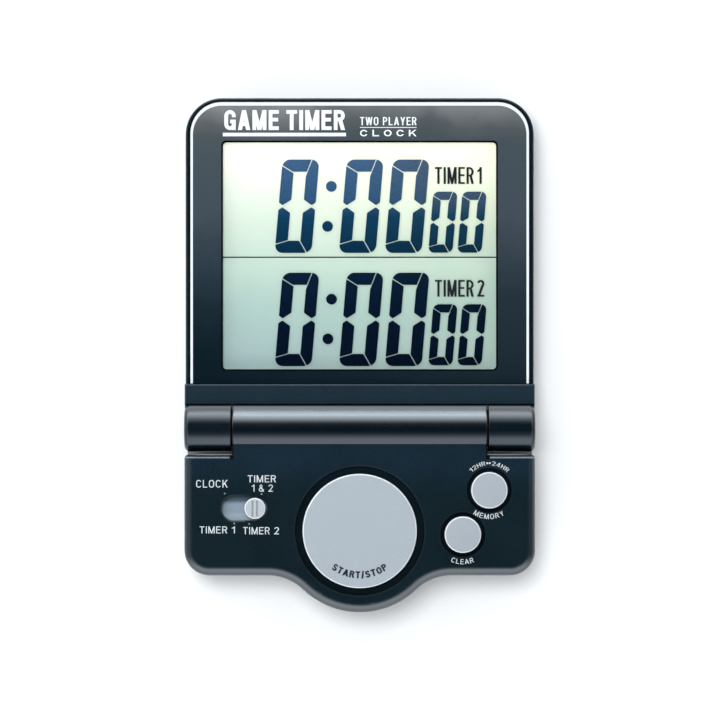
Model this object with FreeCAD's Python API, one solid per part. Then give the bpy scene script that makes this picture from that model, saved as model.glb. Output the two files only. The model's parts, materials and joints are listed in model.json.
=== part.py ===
import FreeCAD, Part
import math
import os

from FreeCAD import Vector

os.makedirs("parts", exist_ok=True)

# Folding two-line game clock, millimetres, lying open and flat on its feet.
# +X right, +Y towards the top of the display, +Z up. The origin is the centre
# of the bounding box's bottom face. Shapes are drawn with y measured from the
# hinge axis and are moved by HINGE_Y when they are written.

# ------------------------------------------------------- driving dimensions
TOUCH = 0.01             # gap between parts that sit on each other
SEAT_GAP = 0.02          # slightly looser gap

FOOT_H = 1.0             # how far the rubber feet stand out
FOOT_R = 3.5
FOOT_POCKET_R = 3.55
FOOT_POCKET_TOP = 1.3

HINGE_Z = 10.5           # hinge axis above the table
HINGE_GAP = 0.3
BARREL_R = 6.25          # hinge barrel and ears
BARREL_HALF = 34.5       # half length of the middle barrel
EAR_IN = BARREL_HALF + HINGE_GAP    # inner face of each ear

BASE_HALF = 47.5         # base half width
BASE_REAR = -7.2         # edge of the base shoulders beside the hinge
BASE_FRONT = -39.75      # straight part of the front edge
BASE_TOP = 15.2
BASE_BOTTOM = FOOT_H
BASE_CORNER = 6.8
BASE_WALL = 1.8
BASE_SKIN = 2.0
BASE_EDGE = 2.6          # rounding of the top edge
SKIN_UNDER = BASE_TOP - BASE_SKIN
COVER_TOP = BASE_BOTTOM + 1.8

START_Y = -27.6          # start/stop button and thumb bulge centre
START_R = 15.45
START_WELL_R = 17.5
START_TRAVEL = 1.2
BULGE_R = 22.15
BLEND_R = 14.0           # hollow arc from the front edge into the bulge
BLEND_X = 24.96          # its centre, placed so that it meets the bulge

SMALL_R = 4.95           # memory and clear buttons
SMALL_WELL_R = 6.05
SMALL_TRAVEL = 1.0
SMALL_BUTTONS = {"memory": (35.05, -16.6), "clear": (27.9, -28.6)}

SLOT_X, SLOT_Y = -31.2, -21.5       # slide switch slot
SLOT_L = 12.4
SLOT_W = 6.6
KNOB_X = -28.3
KNOB_R = 2.85
KNOB_TOP = 16.1
MODE_TRAVEL = 6.0

TOP_Y = 89.75            # hinge axis to the display head's top edge
HEAD_HALF = 47.28
HEAD_CORNER = 9.8
HEAD_FRONT = 10.3        # rim face
HEAD_SPLIT = 3.0         # front frame to rear cover
HEAD_WALL = 2.0
STRIP_TOP = 11.5         # raised strip beside the barrel
STRIP_Y0, STRIP_Y1 = 6.55, 12.05
RIM = 1.2
RIM_TOP = 1.0
LENS_TOP = 10.1
LENS_BOTTOM = LENS_TOP - 1.5
LENS_GAP = 0.08
WINDOW = (-37.2, 37.1, 16.1, 77.8)  # x min, x max, y min, y max

LCD_HALF = 40.4
LCD_Y0, LCD_Y1 = 13.9, 80.0
LCD_SEAM = 46.6
LCD_BOTTOM, LCD_MID, LCD_TOP = 5.4, 6.4, 7.36
HOLDER_HALF = 43.0
HOLDER_Y0, HOLDER_Y1 = 12.5, 81.5
HOLDER_LEDGE = LCD_BOTTOM - SEAT_GAP
REFLECTOR_HALF, REFLECTOR_GAP = 38.5, 0.3
REFLECTOR_SLOTS = [(47.5, 77.0), (17.0, 45.7)]      # y min, y max
ZEBRA_HALF, ZEBRA_GAP = 37.7, 0.2
ZEBRA_SLOTS = [(14.2, 16.2), (77.8, 79.8)]          # y min, y max

CELL_Y = -24.0           # coin cell and battery door centre
CELL_R = 10.0
DOOR_R = 12.05
DOOR_HUB_R = 11.0

BOARD_BOTTOM, BOARD_TOP = 7.6, 8.6  # button board
MAIN_BOTTOM, MAIN_TOP = 3.6, 4.4    # display board
PART_TOP = MAIN_BOTTOM - TOUCH      # parts hung under the display board

CASE_SHAFT_R = 0.85      # screw shafts
BOARD_SHAFT_R = 0.6
SCREW_GAP = 0.02         # shaft to pilot hole
SCREW_SEAT = 2.0         # floor of the counterbores
CASE_SCREWS = [(-42.5, -12.0), (42.5, -12.0), (-41.0, -33.3), (41.0, -33.3)]
BOARD_SCREWS = [(-30.0, -12.5), (-30.0, -34.5), (33.5, -36.0), (20.5, -12.0)]
BASE_FEET = [(-33.0, -13.0), (33.0, -13.0), (-31.0, -33.0), (31.0, -33.0)]
HEAD_SCREWS = [(-38.0, 84.6), (38.0, 84.6), (-38.0, 10.2), (38.0, 10.2)]
MAIN_SCREWS = [(-41.7, 16.0), (41.7, 16.0), (-41.7, 78.0), (41.7, 78.0)]
HEAD_FEET = [(-36.0, 74.0), (36.0, 74.0)]
BUZZER_X, BUZZER_Y = 22.0, 62.0

BUSH_R = 2.4
PIN_R = 1.5
PIN_END = 43.0
BUSH_END = -41.0
CABLE_R = 0.7
CABLE_WAY_R = 0.95
CABLE_X = -42.4          # cable's way from the left ear into the head
CABLE_TURN = (CABLE_X, 0, HINGE_Z)
CABLE_BEND = (CABLE_X, 10.6, 5.6)

FRONT_Y = START_Y - BULGE_R         # front of the thumb bulge
HINGE_Y = -(TOP_Y + FRONT_Y) / 2    # hinge axis in the written frame


# ------------------------------------------------------------------- solids
def box(x_min, x_max, y_min, y_max, z_min, z_max):
    corner_point = Vector(x_min, y_min, z_min)
    return Part.makeBox(x_max - x_min, y_max - y_min, z_max - z_min, corner_point)


def mid_box(x, y, half_x, half_y, z_min, z_max):
    """Box centred on x, y."""
    return box(x - half_x, x + half_x, y - half_y, y + half_y, z_min, z_max)


def cyl(x, y, z_min, z_max, radius):
    return Part.makeCylinder(radius, z_max - z_min, Vector(x, y, z_min), Vector(0, 0, 1))


def cone(x, y, z_min, z_max, low_r, high_r):
    return Part.makeCone(low_r, high_r, z_max - z_min, Vector(x, y, z_min), Vector(0, 0, 1))


def hinge_cyl(x_min, x_max, radius):
    """Cylinder on the hinge axis."""
    return Part.makeCylinder(radius, x_max - x_min, Vector(x_min, 0, HINGE_Z), Vector(1, 0, 0))


def rod(start, end, radius):
    start, end = Vector(*start), Vector(*end)
    return Part.makeCylinder(radius, (end - start).Length, start, end - start)


def ball(centre, radius):
    return Part.makeSphere(radius, Vector(*centre))


def cable(points):
    """Round cable through the points, with a ball at each bend."""
    pieces = [rod(points[0], points[1], CABLE_R)]
    for bend, end in zip(points[1:], points[2:]):
        pieces += [ball(bend, CABLE_R), rod(bend, end, CABLE_R)]
    return fuse(pieces)


def turned(x, y, profile):
    """Solid of revolution about a vertical line; profile is a closed (r, z) list."""
    points = [Vector(x + radius, y, z) for radius, z in profile]
    wire = Part.makePolygon(points + [points[0]])
    return Part.Face(wire).revolve(Vector(x, y, 0), Vector(0, 0, 1), 360)


def fuse(shapes):
    return shapes[0].multiFuse(shapes[1:]).removeSplitter()


def cut(shape, tools):
    return shape.cut(tools).removeSplitter()


def turn_and_move(shape, angle, y):
    """Turn a shape about the z axis, then move it along y."""
    shape.rotate(Vector(0, 0, 0), Vector(0, 0, 1), angle)
    shape.translate(Vector(0, y, 0))
    return shape


# ----------------------------------------------------------------- outlines
def prism(path, z_min, z_max):
    """Extrude a closed anticlockwise outline.

    Path items are (point,) or (start, middle, end) of an arc; lines join them.
    """
    edges = []
    last = path[-1][-1]
    for item in path:
        if item[0] != last:
            edges.append(Part.LineSegment(Vector(*last), Vector(*item[0])).toShape())
        if len(item) == 3:
            edges.append(Part.Arc(*[Vector(*point) for point in item]).toShape())
        last = item[-1]
    face = Part.Face(Part.Wire(Part.__sortEdges__(edges)))
    solid = face.extrude(Vector(0, 0, z_max - z_min))
    solid.translate(Vector(0, 0, z_min))
    return solid


AXES = [(1, 0), (0, 1), (-1, 0), (0, -1)]


def corner(x, y, radius, quadrant):
    """Anticlockwise quarter arc about x, y; quadrant 0 is +X +Y."""
    (from_x, from_y), (to_x, to_y) = AXES[quadrant], AXES[(quadrant + 1) % 4]
    middle = radius * math.sqrt(0.5)
    return ((x + radius * from_x, y + radius * from_y),
            (x + middle * (from_x + to_x), y + middle * (from_y + to_y)),
            (x + radius * to_x, y + radius * to_y))


def base_prism(inset, z_min, z_max):
    """The base's plan outline, inset, as a prism."""
    half = BASE_HALF - inset
    rear = BASE_REAR - inset
    front = BASE_FRONT + inset
    corner_x, corner_y = BASE_HALF - BASE_CORNER, BASE_FRONT + BASE_CORNER
    corner_r = BASE_CORNER - inset

    blend_y = BASE_FRONT - BLEND_R
    blend_r = BLEND_R + inset
    join_angle = math.atan2(START_Y - blend_y, -BLEND_X)

    def on_blend(angle):
        return (BLEND_X + blend_r * math.cos(angle), blend_y + blend_r * math.sin(angle))

    join = on_blend(join_angle)
    middle = on_blend((math.pi / 2 + join_angle) / 2)
    left_join = (-join[0], join[1])
    return prism([
        ((-half, rear),),
        corner(-corner_x, corner_y, corner_r, 2),
        ((-BLEND_X, front), (-middle[0], middle[1]), left_join),
        (left_join, (0, FRONT_Y + inset), join),
        (join, middle, (BLEND_X, front)),
        corner(corner_x, corner_y, corner_r, 3),
        ((half, rear),),
    ], z_min, z_max)


def head_prism(inset, z_min, z_max, y_min, top_inset=None):
    """The display head's plan outline, inset, from y_min to its top edge."""
    top_inset = inset if top_inset is None else top_inset
    half = HEAD_HALF - inset
    radius = HEAD_CORNER - inset
    corner_x, corner_y = half - radius, TOP_Y - top_inset - radius
    return prism([
        ((half, y_min),),
        corner(corner_x, corner_y, radius, 0),
        corner(-corner_x, corner_y, radius, 1),
        ((-half, y_min),),
    ], z_min, z_max)


def slot_prism(x, y, length, width, z_min, z_max):
    """Round-ended slot along x."""
    radius = width / 2
    left, right = x - length / 2 + radius, x + length / 2 - radius
    return prism([
        ((right, y - radius), (right + radius, y), (right, y + radius)),
        ((left, y + radius), (left - radius, y), (left, y - radius)),
    ], z_min, z_max)


def round_rect(x_min, x_max, y_min, y_max, radius, z_min, z_max):
    left, right = x_min + radius, x_max - radius
    low, high = y_min + radius, y_max - radius
    return prism([corner(right, low, radius, 3), corner(right, high, radius, 0),
                  corner(left, high, radius, 1), corner(left, low, radius, 2)], z_min, z_max)


# ------------------------------------------------------------ edge selection
def flat(bounds, axis, *levels):
    """True if the bounds are flat along the axis and lie at one of the levels."""
    low, high = getattr(bounds, axis + "Min"), getattr(bounds, axis + "Max")
    return any(abs(low - level) < 0.01 and abs(high - level) < 0.01 for level in levels)


def edges_where(shape, test):
    return [edge for edge in shape.Edges if test(edge.BoundBox)]


def round_where(shape, radius, test):
    return shape.makeFillet(radius, edges_where(shape, test))


def round_flat(shape, radius, axis, *levels):
    return round_where(shape, radius, lambda edge: flat(edge, axis, *levels))


# ------------------------------------------------------------ shared details
def screw(x, y, head_bottom, head_top, head_r, shaft_r, tip, recess=1.1):
    """Cross-recess screw driven upwards: head below, shaft above."""
    head = round_flat(cyl(x, y, head_bottom, head_top, head_r), 0.25, "Z", head_bottom)
    solid = head.fuse(cyl(x, y, head_top - 0.01, tip - shaft_r, shaft_r))
    solid = solid.fuse(cone(x, y, tip - shaft_r, tip, shaft_r, shaft_r * 0.3))
    recess_top = head_bottom + (head_top - head_bottom) * 0.6
    for half_x, half_y in ((recess, 0.2), (0.2, recess)):
        solid = solid.cut(mid_box(x, y, half_x, half_y, head_bottom - 0.1, recess_top))
    return solid.removeSplitter()


def screws(places, **sizes):
    return [screw(x, y, **sizes) for x, y in places]


def case_screws(places, head_r, tip):
    return screws(places, head_bottom=1.15, head_top=SCREW_SEAT - SEAT_GAP,
                  head_r=head_r, shaft_r=CASE_SHAFT_R, tip=tip)


def counterbores(places, seat_r, hole_r):
    tools = []
    for x, y in places:
        tools += [cyl(x, y, 0, SCREW_SEAT, seat_r), cyl(x, y, 0, 4, hole_r)]
    return tools


def cylinders(places, z_min, z_max, radius):
    return [cyl(x, y, z_min, z_max, radius) for x, y in places]


def foot_pockets(places):
    return cylinders(places, 0, FOOT_POCKET_TOP, FOOT_POCKET_R)


def feet(places):
    return [round_flat(foot, 0.35, "Z", 0.0)
            for foot in cylinders(places, 0.0, FOOT_POCKET_TOP - TOUCH, FOOT_R)]


def write(name, shapes):
    """Write one piece, moved from the hinge frame to the written frame."""
    if not isinstance(shapes, list):
        shapes = [shapes]
    solids = [solid for shape in shapes for solid in shape.Solids]
    piece = solids[0] if len(solids) == 1 else Part.makeCompound(solids)
    piece = piece.copy()
    piece.translate(Vector(0, HINGE_Y, 0))
    piece.exportStep(os.path.join("parts", name + ".step"))


# ------------------------------------------------------------ base top shell
RING_BOTTOM = 12.7       # rings round the button wells
POST_TOP = SKIN_UNDER + 0.05        # runs into the skin


def base_body():
    """Hollow body, open below."""
    body = base_prism(0, BASE_BOTTOM, BASE_TOP)
    body = round_where(body, BASE_EDGE, lambda edge: (
        flat(edge, "Z", BASE_TOP) and not flat(edge, "Y", BASE_REAR)))
    body = round_where(body, 0.8, lambda edge: (
        flat(edge, "Y", BASE_REAR) and not flat(edge, "Z", BASE_BOTTOM)))
    body = round_flat(body, 0.5, "Z", BASE_BOTTOM)
    return body.cut(base_prism(BASE_WALL, BASE_BOTTOM - 0.5, SKIN_UNDER))


def base_barrel():
    """Middle hinge barrel and the web that carries it."""
    barrel = hinge_cyl(-BARREL_HALF, BARREL_HALF, BARREL_R)
    barrel = round_flat(barrel, 0.25, "X", -BARREL_HALF, BARREL_HALF)
    web = box(-BARREL_HALF, BARREL_HALF, BASE_REAR - 0.9, -0.4,
              HINGE_Z - BARREL_R + 0.02, BASE_TOP)
    return [web, barrel]


def base_underside():
    """Rings, screw posts and the rails beside the slide switch's skirt."""
    added = [cyl(0, START_Y, RING_BOTTOM, POST_TOP, START_WELL_R - 0.15)]
    added += cylinders(SMALL_BUTTONS.values(), RING_BOTTOM, POST_TOP, 6.6)
    added += cylinders(CASE_SCREWS, COVER_TOP + SEAT_GAP, POST_TOP, 2.6)
    added += cylinders(BOARD_SCREWS, BOARD_TOP + SEAT_GAP, POST_TOP, 1.8)
    for y_min, y_max in ((-17.1, -16.3), (-26.7, -25.9)):
        added.append(box(-45.8, -19.6, y_min, y_max, 12.0, POST_TOP))
    return added


def button_well(x, y, floor, flare_z, well_r, draft, flare, bore_r):
    """Tapered well, flared at the mouth, with the button's bore through its floor."""
    return [
        cone(x, y, floor, flare_z, well_r - draft, well_r),
        cone(x, y, flare_z, BASE_TOP + 0.05, well_r, well_r + flare),
        cyl(x, y, 12.0, 15.0, bore_r),
    ]


def base_top_shell():
    shell = base_body().fuse(base_barrel()).fuse(base_underside())
    holes = button_well(0, START_Y, floor=13.9, flare_z=14.95, well_r=START_WELL_R,
                        draft=0.35, flare=0.3, bore_r=START_R + 0.15)
    for x, y in SMALL_BUTTONS.values():
        holes += button_well(x, y, floor=14.1, flare_z=15.0, well_r=SMALL_WELL_R,
                             draft=0.2, flare=0.25, bore_r=SMALL_R + 0.12)
    holes.append(slot_prism(SLOT_X, SLOT_Y, SLOT_L, SLOT_W, 12.5, BASE_TOP + 1))
    holes += cylinders(CASE_SCREWS, BASE_BOTTOM, 9.6, CASE_SHAFT_R + SCREW_GAP)
    holes += cylinders(BOARD_SCREWS, 8.0, 12.2, BOARD_SHAFT_R + SCREW_GAP)
    # hinge bores, cable gallery and the cable's way into the base
    holes += [
        hinge_cyl(-BARREL_HALF - 1, -27.0, BUSH_R + 0.05),
        hinge_cyl(27.0, BARREL_HALF + 1, PIN_R + 0.05),
        hinge_cyl(-27.4, 26.0, 3.2),
        box(-24.0, -16.0, BASE_REAR - BASE_WALL - 0.2, -0.5, 8.7, 12.2),
    ]
    shell = cut(shell, holes)
    slot_lip = edges_where(shell, lambda edge: (
        flat(edge, "Z", BASE_TOP)
        and abs(edge.Center.x - SLOT_X) < SLOT_L / 2 + 0.1
        and abs(edge.Center.y - SLOT_Y) < SLOT_W / 2 + 0.1))
    return shell.makeChamfer(0.35, slot_lip).removeSplitter()


write("base_top_shell", base_top_shell())


# ---------------------------------------------- base bottom cover and battery
def base_bottom_cover():
    cover = base_prism(BASE_WALL + 0.05, BASE_BOTTOM, COVER_TOP)
    tools = [
        cyl(0, CELL_Y, 0, 2.2, DOOR_R + 0.05),
        cyl(0, CELL_Y, 0, 4.0, DOOR_HUB_R + 0.1),
    ]
    for angle in (60, 240):     # bayonet notches in the ledge
        notch = box(9.0, DOOR_R, -2.4, 2.4, 2.0, 4.0)
        tools.append(turn_and_move(notch, angle, CELL_Y))
    tools += counterbores(CASE_SCREWS, seat_r=2.2, hole_r=1.1)
    tools += foot_pockets(BASE_FEET)
    return cut(cover, tools)


def battery_door():
    """Disc with a hub, two bayonet lugs above it and a coin slot below."""
    disc = round_flat(cyl(0, CELL_Y, BASE_BOTTOM, 2.15, DOOR_R), 0.2, "Z", BASE_BOTTOM)
    door = disc.fuse(cyl(0, CELL_Y, 2.1, 2.85, DOOR_HUB_R))
    ring = cyl(0, CELL_Y, 2.84, 3.35, 11.9).cut(cyl(0, CELL_Y, 2, 4, 9.0))
    door = door.fuse([ring.common(mid_box(x, CELL_Y, 2.25, 2.1, 2.8, 3.4))
                      for x in (10.25, -10.25)])
    coin_slot = slot_prism(0, CELL_Y, 15.0, 1.8, BASE_BOTTOM - 0.5, BASE_BOTTOM + 0.8)
    return cut(door, [coin_slot])


def coin_cell():
    can = cyl(0, CELL_Y, 3.5, 6.3, CELL_R)
    return can.fuse(cyl(0, CELL_Y, 6.3, 6.7, CELL_R - 1.3)).removeSplitter()


def battery_holder():
    """Ring round the cell, notched for the two contacts."""
    ring = turned(0, CELL_Y, [(12.2, 2.82), (13.8, 2.82), (13.8, 7.0),
                              (10.15, 7.0), (10.15, 3.45), (12.2, 3.45)])
    return cut(ring, [mid_box(10.4, CELL_Y, 0.35, 2.2, 3.0, 7.5),
                      box(-4.0, 4.0, CELL_Y + 9.0, CELL_Y + 14.0, 6.3, 7.5)])


def positive_clip():
    """Upright blade beside the cell, with a small pad facing its edge."""
    return fuse([box(10.25, 10.5, CELL_Y - 1.9, CELL_Y + 1.9, 3.7, BOARD_BOTTOM - SEAT_GAP),
                 box(10.03, 10.26, CELL_Y - 0.8, CELL_Y + 0.8, 4.6, 5.4)])


def negative_spring():
    """Strip over the cell, a riser and a tab under the button board."""
    top = BOARD_BOTTOM - SEAT_GAP
    return fuse([box(-2.0, 2.0, CELL_Y - 4.0, CELL_Y + 4.0, 6.72, 6.95),
                 box(-1.6, 1.6, CELL_Y + 4.0, CELL_Y + 4.25, 6.72, top),
                 box(-1.6, 1.6, CELL_Y + 3.99, CELL_Y + 6.5, 7.35, top)])


write("base_bottom_cover", base_bottom_cover())
write("battery_door", battery_door())
write("coin_cell", coin_cell())
write("battery_holder", battery_holder())
write("battery_positive_clip", positive_clip())
write("battery_negative_spring", negative_spring())
write("base_feet", feet(BASE_FEET))
write("base_case_screws", case_screws(CASE_SCREWS, head_r=2.0, tip=8.8))


# -------------------------------------------------- button board and buttons
DOME_TOP = 11.38
DOME_T = 0.6
STEM_BOTTOM = 11.4


def button_board():
    board = base_prism(2.5, BOARD_BOTTOM, BOARD_TOP)
    tools = cylinders(CASE_SCREWS, 7, 9, 2.9)
    tools += cylinders(BOARD_SCREWS, 7, 9, 0.7)
    tools += [mid_box(x, -10.75, 2.0, 1.75, 7, 9) for x in (-44.0, 44.0)]
    return cut(board, tools)


def dome(x, y, base_r, top_r):
    """Thin flanged dome standing on the button board."""
    bottom = BOARD_TOP + TOUCH
    flange_top = bottom + 0.45
    return turned(x, y, [
        (base_r, bottom), (base_r + 1.0, bottom), (base_r + 1.0, flange_top),
        (base_r + DOME_T, flange_top), (top_r, DOME_TOP), (0, DOME_TOP),
        (0, DOME_TOP - DOME_T), (top_r - DOME_T, DOME_TOP - DOME_T)])


def pill(x, y, travel, radius):
    """Carbon pill carried under the dome's crown."""
    return cyl(x, y, BOARD_TOP + travel + 0.03, DOME_TOP - DOME_T - 0.02, radius)


def button(x, y, radius, flange_r, crown, top, stem_r, wall):
    """Moulded cap: crowned top, rounded edge, retaining flange, hollow with a stem."""
    rounding = 0.55
    flange_bottom, flange_top = 11.7, 12.5
    ceiling = top - 1.7
    edge_z = top - crown
    edge_r = radius - rounding
    offset = rounding * (1 - math.sqrt(0.5))

    def at(distance, z):
        return Vector(x + distance, y, z)

    edges = [
        Part.Arc(at(0, top), at(edge_r * 0.5, top - crown * 0.25), at(edge_r, edge_z)).toShape(),
        Part.Arc(at(edge_r, edge_z), at(radius - offset, edge_z - offset),
                 at(radius, edge_z - rounding)).toShape(),
    ]
    profile = [
        (radius, edge_z - rounding), (radius, flange_top), (flange_r, flange_top),
        (flange_r, flange_bottom), (radius - wall, flange_bottom), (radius - wall, ceiling),
        (stem_r, ceiling), (stem_r, STEM_BOTTOM), (0, STEM_BOTTOM), (0, top)]
    for start, end in zip(profile[:-1], profile[1:]):
        edges.append(Part.LineSegment(at(*start), at(*end)).toShape())
    face = Part.Face(Part.Wire(Part.__sortEdges__(edges)))
    return face.revolve(Vector(x, y, 0), Vector(0, 0, 1), 360)


def start_stop_button():
    """Large button, stiffened by three crossing ribs."""
    cap = button(0, START_Y, START_R, flange_r=16.9, crown=0.25, top=16.3,
                 stem_r=2.6, wall=1.4)
    ribs = [turn_and_move(mid_box(0, 0, START_R - 1.2, 0.5, 13.2, 14.7), angle, START_Y)
            for angle in (0, 60, 120)]
    return fuse([cap] + ribs)


write("button_board", button_board())
write("button_board_screws", screws(
    BOARD_SCREWS, head_bottom=6.9, head_top=BOARD_BOTTOM - TOUCH, head_r=1.4,
    shaft_r=BOARD_SHAFT_R, tip=11.8, recess=0.8))
write("start_stop_dome", dome(0, START_Y, base_r=4.2, top_r=3.2))
write("start_stop_button", start_stop_button())
write("start_stop_pill", pill(0, START_Y, START_TRAVEL, 1.6))
for name, (x, y) in SMALL_BUTTONS.items():
    write(name + "_dome", dome(x, y, base_r=2.6, top_r=2.2))
    write(name + "_button", button(x, y, SMALL_R, flange_r=5.85, crown=0.15, top=16.0,
                                   stem_r=1.7, wall=1.1))
    write(name + "_pill", pill(x, y, SMALL_TRAVEL, 1.2))


# -------------------------------------------------------------- slide switch
def mode_knob():
    """Round knob with two grooves, on a skirt with a fork below."""
    skirt = box(-38.6, -18.7, SLOT_Y - 4.2, SLOT_Y + 4.2, 12.35, 13.12)
    cap = round_flat(cyl(KNOB_X, SLOT_Y, 13.1, KNOB_TOP, KNOB_R), 0.45, "Z", KNOB_TOP)
    for offset in (-0.62, 0.62):
        cap = cap.cut(mid_box(KNOB_X + offset, SLOT_Y, 0.22, 2.1, KNOB_TOP - 0.35, 17.0))
    fork = [mid_box(KNOB_X + offset, SLOT_Y, 0.6, 1.2, 11.1, 12.4) for offset in (-2.0, 2.0)]
    return fuse([skirt, cap] + fork)


def mode_switch_body():
    """Switch housing, slotted for the slider's travel."""
    body = box(-38.0, -24.5, SLOT_Y - 2.2, SLOT_Y + 2.2, BOARD_TOP + TOUCH, 10.9)
    return body.cut(box(KNOB_X - 1.5 - MODE_TRAVEL, KNOB_X + 1.5,
                        SLOT_Y - 0.85, SLOT_Y + 0.85, 9.1, 12.0))


write("mode_knob", mode_knob())
write("mode_switch_slider", mid_box(KNOB_X, SLOT_Y, 1.38, 0.8, 9.2, 12.33))
write("mode_switch_body", mode_switch_body())

# --------------------------------------------------------- hinge and its cable
WASHER_IN, WASHER_OUT = 34.56, 34.74
WASHER_R = 5.0
write("hinge_pin", hinge_cyl(28.0, PIN_END, PIN_R))
write("hinge_bush", hinge_cyl(BUSH_END, -28.0, BUSH_R).cut(hinge_cyl(-42, -27, 1.05)))
write("hinge_washers", [
    hinge_cyl(-WASHER_OUT, -WASHER_IN, WASHER_R).cut(hinge_cyl(-36, -34, BUSH_R + 0.1)),
    hinge_cyl(WASHER_IN, WASHER_OUT, WASHER_R).cut(hinge_cyl(34, 36, PIN_R + 0.1))])
write("hinge_cable_base", cable([
    (-34.6, 0, HINGE_Z), (-20.0, 0, HINGE_Z), (-20.0, -8.0, 10.2),
    (-20.0, -11.6, 9.9), (-20.0, -11.6, BOARD_TOP + SEAT_GAP)]))
write("hinge_cable_head", cable([
    (-34.7, 0, HINGE_Z), CABLE_TURN, CABLE_BEND,
    (CABLE_X, CABLE_BEND[1], MAIN_TOP + SEAT_GAP)]))


# ------------------------------------------------ display front frame and lens
FRAME_Y0 = 7.5
LINK_Y1 = 8.0


def hinge_strip():
    strip = box(-BASE_HALF, BASE_HALF, STRIP_Y0, STRIP_Y1, HEAD_SPLIT, STRIP_TOP)
    return round_where(strip, 0.5, lambda edge: (
        flat(edge, "Z", STRIP_TOP)
        and (flat(edge, "Y", STRIP_Y1) or flat(edge, "X", BASE_HALF, -BASE_HALF))))


def hinge_ear(side):
    """Ear on the hinge axis and the block linking it to the frame."""
    outer = side * BASE_HALF
    x_min, x_max = sorted((side * EAR_IN, outer))
    ear = round_flat(hinge_cyl(x_min, x_max, BARREL_R), 1.4, "X", outer)
    ear = round_flat(ear, 0.25, "X", side * EAR_IN)
    link = box(x_min, x_max, 3.2, LINK_Y1, HEAD_SPLIT, STRIP_TOP - 0.5)
    link = round_where(link, 0.9, lambda edge: (
        flat(edge, "X", outer) and not flat(edge, "Y", LINK_Y1)))
    return [ear, link]


def display_front_frame():
    frame = head_prism(0, HEAD_SPLIT, HEAD_FRONT, FRAME_Y0)
    frame = round_where(frame, 0.7, lambda edge: (
        flat(edge, "Z", HEAD_FRONT) and not flat(edge, "Y", FRAME_Y0)))
    frame = frame.fuse([hinge_strip()] + hinge_ear(-1) + hinge_ear(1))

    # lens pocket, window, inner space
    frame = frame.cut(head_prism(RIM, LENS_BOTTOM, HEAD_FRONT + 3, STRIP_Y1, RIM_TOP))
    frame = frame.cut(round_rect(*WINDOW, 1.0, 5.0, 12.0))
    frame = frame.cut(head_prism(HEAD_WALL, HEAD_SPLIT - 1, 7.4, 8.0))

    frame = frame.fuse(cylinders(HEAD_SCREWS, HEAD_SPLIT + SEAT_GAP, 7.45, 2.2))
    holes = cylinders(HEAD_SCREWS, 1.0, 6.9, CASE_SHAFT_R + SCREW_GAP)
    holes += cylinders(MAIN_SCREWS, 7.0, 8.2, BOARD_SHAFT_R + SCREW_GAP)
    # parting grooves between the strip and the ears
    for x_min, x_max in ((-BASE_HALF - 1, -EAR_IN), (EAR_IN, BASE_HALF + 1)):
        holes.append(box(x_min, x_max, 6.2, STRIP_Y0, STRIP_TOP - 0.55, STRIP_TOP + 1))
    # hinge bores and cable way
    holes += [
        hinge_cyl(EAR_IN - 1, PIN_END, PIN_R + TOUCH),
        hinge_cyl(BUSH_END, -EAR_IN + 1, BUSH_R + TOUCH),
        hinge_cyl(CABLE_X - 0.9, BUSH_END + 0.1, 1.1),
        rod(CABLE_TURN, CABLE_BEND, CABLE_WAY_R),
        ball(CABLE_TURN, 1.1),
    ]
    return cut(frame, holes)


write("display_front_frame", display_front_frame())
write("display_lens", head_prism(RIM + LENS_GAP, LENS_BOTTOM + TOUCH, LENS_TOP,
                                 STRIP_Y1 + LENS_GAP, RIM_TOP + LENS_GAP))


# ---------------------------------------------------------- LCDs and holder
def lcd(y_min, y_max, low_ledge=0.0, high_ledge=0.0):
    """Front glass and a rear glass cut back to leave a contact ledge."""
    return fuse([
        box(-LCD_HALF, LCD_HALF, y_min, y_max, LCD_MID, LCD_TOP),
        box(-LCD_HALF, LCD_HALF, y_min + low_ledge, y_max - high_ledge,
            LCD_BOTTOM, LCD_MID + 0.01)])


def slot_boxes(slots, half, gap, z_min, z_max):
    """Boxes spanning the slots, smaller by gap on every side."""
    return [box(gap - half, half - gap, y_min + gap, y_max - gap, z_min, z_max)
            for y_min, y_max in slots]


def lcd_holder():
    holder = round_rect(-HOLDER_HALF, HOLDER_HALF, HOLDER_Y0, HOLDER_Y1, 1.2,
                        MAIN_TOP + TOUCH, LCD_TOP + SEAT_GAP)
    tools = [box(-LCD_HALF - 0.1, LCD_HALF + 0.1, LCD_Y0 - 0.1, LCD_Y1 + 0.1,
                 HOLDER_LEDGE, 8.0)]
    tools += slot_boxes(REFLECTOR_SLOTS, REFLECTOR_HALF, 0, 4.0, 6.0)
    tools += slot_boxes(ZEBRA_SLOTS, ZEBRA_HALF, 0, 4.0, 6.0)
    tools += cylinders(MAIN_SCREWS, 4, 8, 0.65)
    return cut(holder, tools)


write("lcd_upper", lcd(LCD_SEAM + 0.05, LCD_Y1, high_ledge=2.6))
write("lcd_lower", lcd(LCD_Y0, LCD_SEAM - 0.05, low_ledge=2.6))
write("lcd_reflectors", slot_boxes(REFLECTOR_SLOTS, REFLECTOR_HALF, REFLECTOR_GAP,
                                   5.2, HOLDER_LEDGE))
write("zebra_strips", slot_boxes(ZEBRA_SLOTS, ZEBRA_HALF, ZEBRA_GAP,
                                 MAIN_TOP + SEAT_GAP, LCD_MID - SEAT_GAP))
write("lcd_holder_frame", lcd_holder())

# ------------------------------------------------- display board and its parts
CAPACITORS = [(-23.0, 30.6), (-23.0, 33.6), (11.5, 29.6), (15.5, 29.6)]    # x, y
BUZZER_WIRES = [(-3, -6.0, 3.06), (3, -8.4, 2.85)]  # y offset, end x offset, end z


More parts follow.
